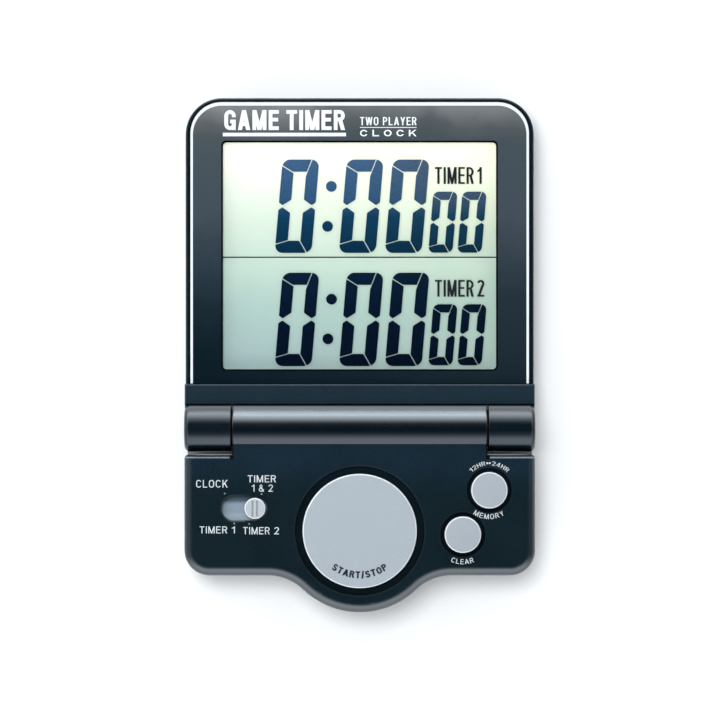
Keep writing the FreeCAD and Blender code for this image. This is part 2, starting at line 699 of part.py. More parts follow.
def main_board():
    """Board with a tab at its lower left corner for the cable."""
    half = HOLDER_HALF - 0.1
    board = fuse([box(-half, half, HOLDER_Y0 + 0.1, HOLDER_Y1 - 0.1, MAIN_BOTTOM, MAIN_TOP),
                  box(-43.3, -41.3, 9.7, 12.7, MAIN_BOTTOM, MAIN_TOP)])
    return cut(board, cylinders(MAIN_SCREWS, 3, 5, 0.65))


def chip_blob(x, y, radius, z_min, z_max):
    """Spherical cap bulging downwards."""
    height = z_max - z_min
    sphere_r = (radius * radius + height * height) / (2 * height)
    sphere = ball((x, y, z_min + sphere_r), sphere_r)
    return sphere.common(cyl(x, y, z_min, z_max, radius + 1))


def buzzer_disc():
    disc = cyl(BUZZER_X, BUZZER_Y, 2.42, 2.62, 10.0)
    return disc.fuse(cyl(BUZZER_X, BUZZER_Y, 2.61, 2.85, 7.0)).removeSplitter()


def buzzer_wire(offset_y, end_x, end_z):
    x, y = BUZZER_X - 11.5, BUZZER_Y + offset_y
    bend = (x, y, 2.95)
    return fuse([rod(bend, (x, y, MAIN_BOTTOM - SEAT_GAP), 0.2), ball(bend, 0.2),
                 rod(bend, (BUZZER_X + end_x, y, end_z), 0.2)])


write("main_board", main_board())
write("main_board_screws", screws(
    MAIN_SCREWS, head_bottom=2.95, head_top=MAIN_BOTTOM - TOUCH, head_r=1.1,
    shaft_r=BOARD_SHAFT_R, tip=8.0, recess=0.7))
write("controller_chip_blob", chip_blob(-8.0, 38.0, 5.0, 2.7, PART_TOP))
write("timing_crystal", round_rect(10.0, 15.0, 34.0, 36.0, 0.6, 2.85, PART_TOP))
write("board_capacitors", [mid_box(x, y, 1.0, 0.6, 2.8, PART_TOP) for x, y in CAPACITORS])
write("buzzer_disc", buzzer_disc())
write("buzzer_wires", [buzzer_wire(*wire) for wire in BUZZER_WIRES])


# ---------------------------------------------------------- display rear cover
def display_rear_cover():
    cover = round_flat(head_prism(0, FOOT_H, HEAD_SPLIT, 7.0), 0.9, "Z", FOOT_H)
    floor = 2.4
    cover = cover.cut(head_prism(HEAD_WALL, floor, 4.0, 8.6))
    lip = head_prism(2.05, 2.9, 4.4, 8.05).cut(head_prism(3.1, 2.0, 5.0, 9.1))
    cover = cover.fuse(lip)
    # clear the lip round the frame's bosses, then stand posts under them
    tools = []
    posts = []
    for x, y in HEAD_SCREWS:
        post = cyl(x, y, 2.3, HEAD_SPLIT, 2.2)
        tools += [cyl(x, y, HEAD_SPLIT, 6.0, 2.35), cyl(x, y, floor, 6.0, 2.35).cut(post)]
        posts.append(post)
    cover = cover.cut(tools).fuse(posts)
    holes = counterbores(HEAD_SCREWS, seat_r=2.0, hole_r=1.0)
    holes += foot_pockets(HEAD_FEET)
    # sound holes under the buzzer: one in the middle, six round it
    sound_holes = [(BUZZER_X, BUZZER_Y)]
    for i in range(6):
        angle = math.radians(60 * i)
        sound_holes.append((BUZZER_X + 3.0 * math.cos(angle), BUZZER_Y + 3.0 * math.sin(angle)))
    holes += cylinders(sound_holes, 0, 4, 0.7)
    holes.append(rod(CABLE_TURN, CABLE_BEND, CABLE_WAY_R))
    return cut(cover, holes)


write("display_rear_cover", display_rear_cover())
write("display_case_screws", case_screws(HEAD_SCREWS, head_r=1.85, tip=6.6))
write("display_feet", feet(HEAD_FEET))
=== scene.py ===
# Two-player game timer, laid open and flat on a paper floor.
# X runs left to right, Y from the base (-Y) over the hinge to the display (+Y), and the
# faces look up along +Z. Lengths are metres; tables marked mm are scaled by MM, and their
# Y values are measured from the hinge axis.
import json
import math

import bmesh
import bpy
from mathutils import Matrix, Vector, geometry


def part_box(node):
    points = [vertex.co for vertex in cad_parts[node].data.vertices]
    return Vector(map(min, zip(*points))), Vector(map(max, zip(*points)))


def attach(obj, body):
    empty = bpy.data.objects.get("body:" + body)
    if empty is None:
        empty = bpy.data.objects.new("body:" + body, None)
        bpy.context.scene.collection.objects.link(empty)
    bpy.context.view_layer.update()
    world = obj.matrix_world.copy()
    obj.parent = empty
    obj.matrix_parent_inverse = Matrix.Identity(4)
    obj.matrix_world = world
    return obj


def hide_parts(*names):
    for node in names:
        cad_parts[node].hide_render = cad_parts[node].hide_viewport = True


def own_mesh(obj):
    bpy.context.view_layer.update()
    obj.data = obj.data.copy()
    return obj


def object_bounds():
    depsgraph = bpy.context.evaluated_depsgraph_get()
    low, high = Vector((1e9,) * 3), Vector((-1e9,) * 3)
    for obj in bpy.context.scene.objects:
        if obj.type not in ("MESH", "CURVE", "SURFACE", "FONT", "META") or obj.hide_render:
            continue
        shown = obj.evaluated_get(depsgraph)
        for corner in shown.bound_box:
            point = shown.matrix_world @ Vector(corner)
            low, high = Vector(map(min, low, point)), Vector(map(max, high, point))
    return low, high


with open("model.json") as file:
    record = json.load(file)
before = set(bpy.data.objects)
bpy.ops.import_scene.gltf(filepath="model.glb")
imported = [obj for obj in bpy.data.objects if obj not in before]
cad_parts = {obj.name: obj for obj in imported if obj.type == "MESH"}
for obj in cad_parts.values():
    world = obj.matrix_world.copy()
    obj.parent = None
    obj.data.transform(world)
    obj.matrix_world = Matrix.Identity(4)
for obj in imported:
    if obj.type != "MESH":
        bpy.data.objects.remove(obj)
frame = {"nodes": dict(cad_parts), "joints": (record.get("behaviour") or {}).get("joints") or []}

cad_lo, cad_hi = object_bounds()
MM = 0.001


# ------------------------------------------------------------ reference places
def top_of(node):
    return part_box(node)[1].z


def centre_of(node):
    low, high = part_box(node)
    return (low + high) / 2


HINGE_Y = next(j for j in frame["joints"] if j["name"] == "display_fold")["pos_m"][1]
LENS_LO, LENS_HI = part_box("display_lens")
LCD_TOP = top_of("lcd_upper")
SHELL_TOP = 0.0152
START_CENTRE = centre_of("start_stop_button")
START_TOP = top_of("start_stop_button")
MEMORY_CENTRE = centre_of("memory_button")
CLEAR_CENTRE = centre_of("clear_button")

# clear window in the lens
WIN_LEFT, WIN_RIGHT = -37.2 * MM, 37.1 * MM
WIN_NEAR, WIN_FAR = HINGE_Y + 16.1 * MM, HINGE_Y + 77.8 * MM


# ------------------------------------------------------------- colours
def srgb(red, green, blue):
    """Linear RGBA from 0-255 display values."""
    linear = []
    for value in (red, green, blue):
        value = value / 255.0
        linear.append(value / 12.92 if value <= 0.04045 else ((value + 0.055) / 1.055) ** 2.4)
    return (*linear, 1.0)


def shade(colour, factor, lift=0.0):
    return tuple(min(1.0, value * factor + lift) for value in colour[:3]) + (1.0,)


# ------------------------------------------------------------- shader builder
class Shader:
    """Builds the node tree of a material or world."""

    def __init__(self, owner, output="OutputMaterial"):
        owner.use_nodes = True
        self.owner = owner
        self.tree = owner.node_tree
        self.tree.nodes.clear()
        self.output = self.node(output)
        self.coords = self.node("TexCoord").outputs

    def node(self, kind, inputs=None, **settings):
        """New node; each input is a socket to link or a plain value, and None leaves it alone."""
        made = self.tree.nodes.new("ShaderNode" + kind)
        for name, value in settings.items():
            setattr(made, name, value)
        for name, value in (inputs or {}).items():
            if isinstance(value, bpy.types.NodeSocket):
                self.tree.links.new(value, made.inputs[name])
            elif value is not None:
                made.inputs[name].default_value = value
        return made

    def math(self, operation, first, second=None):
        return self.node("Math", {0: first, 1: second}, operation=operation).outputs[0]

    def add(self, first, second):
        return self.math("ADD", first, second)

    def sub(self, first, second):
        return self.math("SUBTRACT", first, second)

    def mul(self, product, *factors):
        for factor in factors:
            product = self.math("MULTIPLY", product, factor)
        return product

    def size(self, value):
        return self.math("ABSOLUTE", value)

    def vector(self, operation, first, second=None, out=0):
        return self.node("VectorMath", {0: first, 1: second}, operation=operation).outputs[out]

    def scale(self, vector, factor):
        return self.node("VectorMath", {0: vector, "Scale": factor}, operation="SCALE").outputs[0]

    def split(self, vector):
        return self.node("SeparateXYZ", {0: vector}).outputs

    def flat(self, x, y):
        return self.node("CombineXYZ", {0: x, 1: y}).outputs[0]

    def xyz(self):
        return self.split(self.coords["Object"])

    def remap(self, value, start, end, low=0.0, high=1.0, smooth=True):
        """Takes start..end to low..high, held level outside."""
        return self.node("MapRange", {
            "Value": value, "From Min": start, "From Max": end, "To Min": low, "To Max": high,
        }, interpolation_type="SMOOTHSTEP" if smooth else "LINEAR").outputs["Result"]

    def spread(self, noise, low=0.0, high=1.0):
        """The useful middle of a noise, taken to low..high."""
        return self.remap(noise, 0.3, 0.7, low, high)

    def mix(self, factor, first, second):
        return self.node("Mix", data_type="RGBA", clamp_factor=True,
                         inputs={0: factor, 6: first, 7: second}).outputs[2]

    def noise(self, scale, detail=3.0, roughness=0.6, vector=None):
        return self.node("TexNoise", {
            "Scale": scale, "Detail": detail, "Roughness": roughness,
            "Vector": vector or self.coords["Object"]}).outputs["Fac"]

    def mapping(self, scale, rotation=None):
        """Object coordinates, stretched and turned."""
        return self.node("Mapping", {"Scale": scale, "Rotation": rotation,
                                     "Vector": self.coords["Object"]}).outputs["Vector"]

    def ramp(self, factor, stops):
        """Colour ramp from (position, colour) stops."""
        made = self.node("ValToRGB", {"Fac": factor})
        elements = made.color_ramp.elements
        elements[0].position, elements[0].color = stops[0]
        elements[1].position, elements[1].color = stops[-1]
        for position, colour in stops[1:-1]:
            elements.new(position).color = colour
        return made.outputs["Color"]

    def field(self, along, across, rows):
        """Colour field from rows of (position along, left RGB, right RGB)."""
        left, right = (self.ramp(along, [(row[0], srgb(*row[side])) for row in rows])
                       for side in (1, 2))
        return self.mix(across, left, right)

    def bump(self, height, strength, distance, normal=None):
        return self.node("Bump", {"Strength": strength, "Distance": distance,
                                  "Height": height, "Normal": normal}).outputs["Normal"]

    def rounded(self, radius):
        """Normal that rounds the edges."""
        return self.node("Bevel", {"Radius": radius}, samples=4).outputs[0]

    def edge_mask(self, rounded):
        """0 on flat areas, rising to 1 where the rounded normal leaves the true one."""
        normal = self.node("NewGeometry").outputs["Normal"]
        agreement = self.vector("DOT_PRODUCT", rounded, normal, out="Value")
        return self.remap(self.sub(1.0, agreement), 0.02, 0.35)

    def finish(self, surface):
        self.tree.links.new(surface.outputs[0], self.output.inputs["Surface"])
        return self.owner


def material_shader(name):
    return Shader(bpy.data.materials.new(name))


# ------------------------------------------------------------- finish zones and painted light and shade
# Each returns a function that builds a 0..1 mask. Starts and ends are Y offsets from the
# hinge axis, and soft is half the width of their blend.
def y_band(start, end, soft=0.0001, above=None, also=None):
    """Band across the part, limited to heights over above, or by a further mask."""
    def mask(mat):
        x, y, z = mat.xyz()
        low, high = HINGE_Y + start, HINGE_Y + end
        band = mat.mul(mat.remap(y, low - soft, low + soft), mat.remap(y, high + soft, high - soft))
        if above is not None:
            band = mat.mul(band, mat.remap(z, above - soft, above + soft))
        return mat.mul(band, also(mat)) if also else band
    return mask


def beside_ears(mat):
    """Beyond the hinge barrel, where the base faces the two display ears."""
    return mat.remap(mat.size(mat.xyz()[0]), 0.0345, 0.0348)


def sunken_skirt(mat):
    return mat.remap(mat.xyz()[2], 0.0138, 0.0134)


def notch_faces(start, end, inner, outer):
    """Upright faces of the notches beside the hinge barrel, at inner..outer from the middle."""
    def sides(mat):
        distance = mat.size(mat.xyz()[0])
        return mat.mul(mat.remap(distance, inner, inner + 0.0002),
                       mat.remap(distance, outer + 0.0002, outer))
    return y_band(start, end, also=sides)


def below(height):
    return lambda mat: mat.remap(mat.xyz()[2], height + 0.0002, height - 0.0002)


def painted_strip_reflections(back, front, hinge_start, edge=None):
    """Painted reflection: emission that paints long soft light strips as if reflected in the hinge
    parts and in the front edge of the base.

    Brightness follows the reflected view direction, so the painted highlight moves with the
    viewpoint.
    back, front and edge are the profiles of the painted reflections; hinge_start is a Y offset from
    the hinge.
    """
    back_tint, front_tint, edge_tint = (0.88, 1.0, 1.1), (0.84, 1.0, 1.24), (0.9, 1.0, 1.1)

    def glow(mat):
        surface = mat.node("NewGeometry").outputs
        view = mat.scale(surface["Incoming"], -1.0)
        mirror = mat.split(mat.vector("REFLECT", view, surface["Normal"]))
        normal = mat.split(surface["Normal"])
        x, y, z = mat.xyz()
        position = mat.add(mat.mul(mirror[2], 0.5), 0.5)
        upward = mat.remap(normal[2], 0.0, 0.15)
        start = HINGE_Y + hinge_start
        hinge = mat.mul(mat.remap(y, start, start + 0.0004),
                        mat.remap(y, HINGE_Y + 0.00645, HINGE_Y + 0.0063),
                        upward, mat.remap(mat.size(normal[0]), 0.6, 0.12))

        def facing(sign):
            return mat.mul(mat.remap(normal[1], sign * 0.02, sign * 0.12),
                           mat.remap(mirror[1], 0.0, sign * 0.1), hinge)

        lights = [(facing(1), back, back_tint), (facing(-1), front, front_tint)]
        if edge:
            # painted reflection on the front edge, kept clear of the start button's surround
            distance = mat.vector("DISTANCE", mat.flat(x, y),
                                  (START_CENTRE.x, START_CENTRE.y, 0.0), out="Value")
            mask = mat.mul(mat.remap(distance, 0.0178, 0.0181),
                           mat.remap(y, HINGE_Y - 0.0335, HINGE_Y - 0.0378),
                           upward, mat.remap(normal[1], -0.02, -0.4))
            lights.append((mask, edge, edge_tint))
        total = None
        for mask, profile, tint in lights:
            stops = [(place, (*(bright * part for part in tint), 1.0))
                     for place, bright in profile]
            light = mat.scale(mat.ramp(position, stops), mask)
            total = mat.vector("ADD", total, light) if total else light
        return total
    return glow


# ------------------------------------------------------------- material kinds
def plastic(name, base, rough=0.42, vary=0.1, grain=0.00022, grain_strength=0.35, wear=0.35,
            wear_color=None, spec=0.5, scuff=0.03, crevice_shade=0.75, rim_highlight=None, zones=(),
            painted_reflection=None):
    """Moulded plastic: fine grain, colour drift, scuffs, painted shade in crevices and worn edges.

    grain: size of the grain. vary, wear, scuff, crevice_shade: strength of each effect;
    crevice_shade is painted shade.
    rim_highlight: (colour, height) of a painted highlight on a rounded edge.
    zones: (mask maker, colour, roughness, specular) of areas with another finish and of painted
    light and shade.
    painted_reflection: maker of a painted reflection, added as emission.
    """
    mat = material_shader(name)
    drift = mat.noise(60.0)
    mottle = mat.noise(2400.0)
    colour, roughness, specular = base, rough, spec
    for maker, zone_colour, zone_rough, zone_specular in zones:
        mask = maker(mat)
        rest = mat.sub(1.0, mask)
        colour = mat.mix(mask, colour, zone_colour)
        roughness = mat.add(mat.mul(mask, zone_rough), mat.mul(rest, roughness))
        specular = mat.add(mat.mul(mask, zone_specular), mat.mul(rest, specular))
    brightness = mat.mul(mat.spread(drift, 1 - vary * 0.4, 1 + vary * 0.4),
                         mat.spread(mottle, 1 - vary, 1 + vary))
    colour = mat.scale(colour[:3] if isinstance(colour, tuple) else colour, brightness)

    # worn edges
    rounded = mat.rounded(0.00018)
    chips = mat.remap(mat.noise(900.0, detail=5.0, roughness=0.7), 0.4, 0.72)
    worn = mat.mul(mat.edge_mask(rounded), chips, wear)
    colour = mat.mix(worn, colour, wear_color or shade(base, 2.2, lift=0.012))
    # painted highlight along the rounded edge of a cap top
    if rim_highlight:
        rim_highlight_colour, rim_highlight_height = rim_highlight
        tilt = mat.split(mat.node("NewGeometry").outputs["Normal"])[2]
        x, y, z = mat.xyz()
        mask = mat.mul(mat.remap(tilt, 0.965, 0.86), mat.remap(tilt, 0.2, 0.5),
                       mat.remap(z, rim_highlight_height - 0.0008, rim_highlight_height - 0.0006))
        colour = mat.mix(mask, colour, rim_highlight_colour)

    # painted shade in crevices: ambient occlusion darkens the colour and the specular
    openness = mat.node("AmbientOcclusion", {"Distance": 0.0022}, samples=6).outputs["AO"]
    crevice_shade_factor = mat.remap(openness, 0.15, 0.95, 1.0 - crevice_shade, 1.0, smooth=False)

    # roughness: drift and mottle, less the slanted handling scuffs
    streaks = mat.noise(1.0, detail=4.0, vector=mat.mapping(
        scale=(120.0, 700.0, 300.0), rotation=(0.0, 0.0, 0.5)))
    roughness = mat.add(mat.spread(drift, -0.015, 0.02), roughness)
    roughness = mat.add(roughness, mat.spread(mottle, -0.015, 0.02))
    # the mottle is taken away, the scuffs after it
    roughness = mat.sub(roughness, mat.remap(streaks, 0.5, 0.8, 0.0, scuff))

    # moulded grain
    fine = mat.noise(1.0 / grain, detail=2.0, roughness=0.5)
    cells = mat.node("TexVoronoi", {"Scale": 0.6 / grain, "Vector": mat.coords["Object"]})
    height = mat.add(fine, mat.mul(cells.outputs["Distance"], 0.6))
    surface = {
        "Base Color": mat.scale(colour, crevice_shade_factor),
        "Specular IOR Level": mat.mul(crevice_shade_factor, specular),
        "Roughness": roughness,
        "Normal": mat.bump(height, grain_strength, distance=0.000012, normal=rounded),
    }
    # painted reflection, given as emission
    if painted_reflection:
        surface["Emission Color"] = painted_reflection(mat)
        surface["Emission Strength"] = 1.0
    return mat.finish(mat.node("BsdfPrincipled", surface))


def metal(name, base, rough=0.3, brushed=True):
    mat = material_shader(name)
    lines = mat.mapping((8000.0, 300.0, 300.0) if brushed else (900.0, 900.0, 900.0))
    noise = mat.noise(1.0, detail=4.0, vector=lines)
    return mat.finish(mat.node("BsdfPrincipled", {
        "Metallic": 1.0,
        "Base Color": mat.mix(mat.spread(noise), shade(base, 0.8), base),
        "Roughness": mat.spread(noise, rough - 0.08, rough + 0.1),
        "Normal": mat.bump(noise, strength=0.15, distance=0.00001, normal=mat.rounded(0.00012)),
    }))


def rubber(name, base, rough=0.75, grain=0.0004):
    mat = material_shader(name)
    fine = mat.noise(1.0 / grain)
    drift = mat.noise(180.0)
    return mat.finish(mat.node("BsdfPrincipled", {
        "Base Color": mat.mix(mat.spread(drift), shade(base, 0.8), shade(base, 1.35)),
        "Roughness": mat.spread(drift, rough - 0.06, rough + 0.08),
        "Normal": mat.bump(fine, strength=0.4, distance=0.00003, normal=mat.rounded(0.0002)),
        "Specular IOR Level": 0.35,
    }))


def board(name):
    """Green solder mask with tracks faintly showing under it."""
    mat = material_shader(name)
    tracks = mat.node("TexBrick", {"Scale": 160.0, "Mortar Size": 0.012,
                                   "Vector": mat.coords["Object"]}).outputs["Fac"]
    noise = mat.noise(300.0, detail=4.0)
    colour = mat.mix(tracks, srgb(18, 92, 48), srgb(38, 128, 64))
    patches = mat.remap(noise, 0.4, 0.7, high=0.3)
    return mat.finish(mat.node("BsdfPrincipled", {
        "Base Color": mat.mix(patches, colour, srgb(10, 70, 36)),
        "Roughness": mat.spread(noise, 0.3, 0.42),
        "Normal": mat.bump(tracks, strength=0.3, distance=0.00003),
    }))


def print_ink(name, base):
    """Screen-printed ink: slight density drift and a soft, dry surface."""
    mat = material_shader(name)
    fine = mat.noise(2600.0)
    drift = mat.noise(240.0, detail=2.0, roughness=0.5)
    colour = mat.mix(mat.remap(fine, 0.35, 0.75, high=0.5), base, shade(base, 0.86))
    colour = mat.mix(mat.remap(drift, 0.4, 0.7, high=0.4), colour, shade(base, 0.92))
    return mat.finish(mat.node("BsdfPrincipled", {
        "Base Color": colour,
        "Roughness": mat.spread(fine, 0.45 - 0.05, 0.45 + 0.08),
        "Normal": mat.bump(fine, strength=0.2, distance=0.000006),
    }))


# ------------------------------------------------------------- display materials
# painted reflection on the lens print, lighter toward the far end; position from the hinge end to
# the far end of the lens, left RGB, right RGB
LENS_PAINTED_SHEEN = (
    (0.0, (8, 24, 32), (20, 34, 42)),
    (0.15, (10, 26, 34), (28, 40, 48)),
    (0.3, (22, 37, 45), (32, 44, 52)),
    (0.42, (38, 52, 61), (44, 54, 62)),
    (0.6, (58, 69, 77), (60, 69, 78)),
    (0.8, (62, 73, 79), (61, 72, 79)),
    (0.87, (66, 76, 80), (64, 73, 78)),
    (0.92, (84, 88, 91), (74, 80, 83)),
    (0.96, (104, 107, 109), (92, 96, 99)),
    (1.0, (124, 126, 128), (110, 113, 115)),
)
# painted light on the LCD cell; position from the hinge side to the far side of the window, left
# RGB, right RGB
LCD_PAINTED_LIGHT = (
    (0.0, (150, 168, 171), (153, 172, 165)),
    (0.3, (163, 186, 181), (163, 183, 172)),
    (0.5, (189, 206, 194), (184, 199, 183)),
    (0.75, (218, 224, 211), (215, 220, 198)),
    (1.0, (243, 239, 228), (242, 236, 217)),
)
# painted reflection on the segments; position over both rows of digits, from the hinge side, left
# RGB, right RGB
SEGMENT_PAINTED_SHEEN = (
    (0.0, (0, 8, 24), (0, 8, 22)),
    (0.25, (1, 14, 34), (2, 16, 32)),
    (0.44, (4, 26, 48), (6, 26, 42)),
    (0.56, (5, 44, 70), (8, 44, 64)),
    (0.72, (14, 60, 90), (20, 60, 82)),
    (0.80, (50, 86, 124), (60, 82, 106)),
    (1.0, (70, 104, 142), (82, 96, 120)),
)


def lens_material():
    """Acrylic lens: glossy dark print outside the rounded window, clear inside it; the print
    carries a painted reflection.
    """
    margin, corner = 0.00042, 0.0013
    colour_near, colour_far = HINGE_Y + 12.1046 * MM, HINGE_Y + 89.0970 * MM
    mat = material_shader("lens_acrylic")
    x, y, z = mat.xyz()

    def beyond(axis, low, high):
        """Distance past the straight part of the window side."""
        half = (high - low) / 2 + margin
        offset = mat.size(mat.sub(axis, (low + high) / 2))
        return mat.math("MAXIMUM", mat.sub(offset, half - corner), 0.0)

    past_x = beyond(x, WIN_LEFT, WIN_RIGHT)
    past_y = beyond(y, WIN_NEAR, WIN_FAR)
    distance = mat.math("SQRT", mat.add(mat.mul(past_x, past_x), mat.mul(past_y, past_y)))
    inside = mat.math("LESS_THAN", distance, corner)

    along = mat.remap(y, colour_near, colour_far, smooth=False)
    along = mat.add(along, mat.spread(mat.noise(45.0), -0.03, 0.03))
    across = mat.remap(x, LENS_LO.x, LENS_HI.x, smooth=False)
    waves = mat.noise(60.0, detail=2.0, roughness=0.5)
    border = mat.node("BsdfPrincipled", {
        # print colour carrying the painted reflection
        "Base Color": mat.field(along, across, LENS_PAINTED_SHEEN),
        "Roughness": mat.spread(mat.noise(1500.0), 0.10, 0.16),
        "Normal": mat.bump(waves, strength=0.05, distance=0.00002, normal=mat.rounded(0.0002)),
        "Specular IOR Level": 0.5,
    })

    # the window reflects on its outer face only
    clear = mat.node("BsdfTransparent", {"Color": (0.975, 0.985, 0.98, 1)})
    gloss = mat.node("BsdfGlossy", {"Roughness": 0.06})
    fresnel = mat.node("Fresnel", {"IOR": 1.45}).outputs[0]
    outside = mat.sub(1.0, mat.node("NewGeometry").outputs["Backfacing"])
    window = mat.node("MixShader", {0: mat.mul(fresnel, 0.8, outside),
                                    1: clear.outputs[0], 2: gloss.outputs[0]})
    return mat.finish(mat.node("MixShader", {0: inside, 1: border.outputs[0],
                                             2: window.outputs[0]}))


def lcd_material():
    """Reflective LCD cell with painted light: cream far from the hinge, falling to grey-green near
    it, and a painted glow.
    """
    mat = material_shader("lcd_field")
    x, y, z = mat.xyz()
    along = mat.remap(y, WIN_NEAR, WIN_FAR, smooth=False)
    across = mat.remap(x, WIN_LEFT, WIN_RIGHT, smooth=False)
    drift = mat.spread(mat.noise(38.0, detail=2.0, roughness=0.5), -0.03, 0.03)
    along = mat.add(along, drift)
    grain = mat.noise(5200.0, detail=2.0)
    colour = mat.mix(mat.remap(grain, 0.35, 0.7, high=0.08),
                     mat.field(along, across, LCD_PAINTED_LIGHT), srgb(150, 165, 150))
    return mat.finish(mat.node("BsdfPrincipled", {
        "Base Color": colour,
        # painted glow: the cell emits light, more toward the far side
        "Emission Color": colour,
        "Emission Strength": mat.remap(along, 0.6, 1.05, 0.28, 0.5),
        "Roughness": mat.spread(grain, 0.55, 0.65),
        "Normal": mat.bump(grain, strength=0.15, distance=0.00001),
        "Specular IOR Level": 0.1,
    }))


def segment_material():
    """Liquid-crystal segments with a painted reflection: slate blue far from the hinge, blue-black
    near it.
    """
    colour_near, colour_far = HINGE_Y + 16.7133 * MM, HINGE_Y + 73.3732 * MM
    mat = material_shader("lcd_segments")
    x, y, z = mat.xyz()
    along = mat.remap(y, colour_near, colour_far, smooth=False)
    colour = mat.field(along, mat.remap(x, -0.006, 0.028), SEGMENT_PAINTED_SHEEN)
    noise = mat.noise(1800.0, detail=2.0)
    return mat.finish(mat.node("BsdfPrincipled", {
        "Base Color": mat.mix(mat.spread(noise, 0.0, 0.25), colour, srgb(10, 34, 62)),
        "Roughness": mat.spread(noise, 0.45, 0.6),
        "Specular IOR Level": 0.05,
    }))


# ------------------------------------------------------------- materials
# Profiles of the painted strip reflections: (height of the reflected direction, 0 down to 1 up;
# brightness)
BACK_BARREL = [
    (0.0, 0.05), (0.035, 0.1), (0.118, 0.175), (0.198, 0.145), (0.27, 0.1), (0.345, 0.056),
    (0.415, 0.07), (0.48, 0.12), (0.54, 0.13), (0.59, 0.17), (0.62, 0.25), (0.65, 0.29),
    (0.70, 0.26), (0.745, 0.25), (0.787, 0.268), (0.824, 0.222), (0.859, 0.148), (0.89, 0.092),
    (0.917, 0.05), (0.94, 0.024), (0.96, 0.008), (1.0, 0.0)]
BACK_EAR = [
    (0.0, 0.04), (0.035, 0.09), (0.118, 0.185), (0.198, 0.17), (0.27, 0.135), (0.345, 0.11),
    (0.415, 0.12), (0.479, 0.11), (0.54, 0.09), (0.597, 0.13), (0.65, 0.17), (0.70, 0.17),
    (0.745, 0.13), (0.787, 0.095), (0.824, 0.06), (0.859, 0.036), (0.89, 0.02), (0.917, 0.01),
    (0.96, 0.0), (1.0, 0.0)]
FRONT_BARREL = [
    (0.0, 0.0), (0.45, 0.0), (0.5, 0.03), (0.61, 0.062), (0.71, 0.06), (0.80, 0.062),
    (0.869, 0.05), (0.924, 0.03), (0.965, 0.008), (1.0, 0.0)]
FRONT_EAR = [
    (0.0, 0.0), (0.43, 0.0), (0.5, 0.015), (0.56, 0.025), (0.61, 0.04), (0.71, 0.042),
    (0.80, 0.045), (0.869, 0.04), (0.924, 0.022), (0.965, 0.008), (1.0, 0.0)]
FRONT_EDGE = [
    (0.0, 0.02), (0.2, 0.045), (0.5, 0.085), (0.7, 0.12), (0.85, 0.14), (0.94, 0.12),
    (0.985, 0.06), (1.0, 0.0)]

# Zone rows: mask, colour, roughness, specular
SHELL_ZONES = [
    # painted light: the base face grows lighter toward the hinge
    (y_band(-0.0135, 0.0020, soft=0.006), srgb(15, 34, 46), 0.3, 0.42),
    (y_band(-0.0042, 0.0057), srgb(4, 14, 20), 0.24, 0.4),
    # painted highlight on the side of the hinge barrel toward the display
    (y_band(0.0032, 0.0057, soft=0.0006), srgb(64, 76, 86), 0.34, 0.82),
    # painted shade in the crease where the barrel meets the display strip
    (y_band(0.00622, 0.0066, soft=0.00003), srgb(2, 5, 8), 0.85, 0.2),
    # painted shade on the base's rear edge facing the ears, then a painted highlight line along it
    (y_band(-0.0079, -0.0066, also=beside_ears), srgb(3, 8, 12), 0.7, 0.3),
    (y_band(-0.00795, -0.00755, also=beside_ears), srgb(116, 132, 136), 0.5, 0.4),
    # painted shade on the upright faces of the notches beside the barrel
    (notch_faces(-0.0082, 0.0066, inner=0.0340, outer=0.0351), srgb(2, 6, 9), 0.8, 0.15),
]
HEAD_ZONES = [
    (y_band(0.0064, 0.0122, above=0.0112), srgb(24, 41, 52), 0.3, 0.42),
    # painted shade in the crease where the ears meet the display strip
    (y_band(0.0063, 0.00672, soft=0.00004), srgb(2, 6, 9), 0.85, 0.1),
    # painted shade on the inner end faces of the ears
    (notch_faces(-0.0066, 0.0064, inner=0.0344, outer=0.0349), srgb(2, 6, 9), 0.85, 0.1),
]
KNOB_ZONES = [
    # painted shade: the skirt sunk in the slot is darker than the cap
    (below(0.0136), srgb(144, 160, 175), 0.45, 0.5),
    # painted shadow of the slot's edge nearer the hinge, on the skirt
    (y_band(-0.0199, -0.0170, soft=0.0007, also=sunken_skirt), srgb(78, 94, 108), 0.5, 0.4),
    # painted light on the part of the skirt farther from the hinge
    (y_band(-0.0270, -0.0229, soft=0.0006, also=sunken_skirt), srgb(166, 181, 195), 0.5, 0.4),
]
CAP = dict(vary=0.03, grain_strength=0.2, wear=0.4, scuff=0.02)
BUTTON_CAP = dict(CAP, grain=0.00018, wear_color=srgb(225, 228, 230), crevice_shade=0.5)
# painted highlight on the rims of the button caps
BUTTON_RIM_HIGHLIGHT = srgb(222, 225, 226)

SHELL = plastic("base_shell", srgb(11, 27, 34), rough=0.3, vary=0.2, wear=0.3,
                grain_strength=0.25, spec=0.42, scuff=0.0, zones=SHELL_ZONES,
                painted_reflection=painted_strip_reflections(BACK_BARREL, FRONT_BARREL, -0.0046, FRONT_EDGE))
HEAD = plastic("head_shell", srgb(6, 19, 26), rough=0.22, vary=0.14, wear=0.3,
               grain_strength=0.12, spec=0.42, scuff=0.0, zones=HEAD_ZONES,
               painted_reflection=painted_strip_reflections(BACK_EAR, FRONT_EAR, -0.0064))
COVER = plastic("rear_cover", srgb(20, 29, 34), rough=0.5, vary=0.12, grain=0.0003,
                grain_strength=0.6, wear=0.3, spec=0.24)
DOOR = plastic("battery_door", srgb(26, 35, 40), rough=0.46, vary=0.12, grain=0.0003,
               grain_strength=0.5, wear=0.5, spec=0.26)
BUTTON = plastic("button_caps", srgb(161, 169, 176), rim_highlight=(BUTTON_RIM_HIGHLIGHT, START_TOP - 0.0003),
                 **BUTTON_CAP)
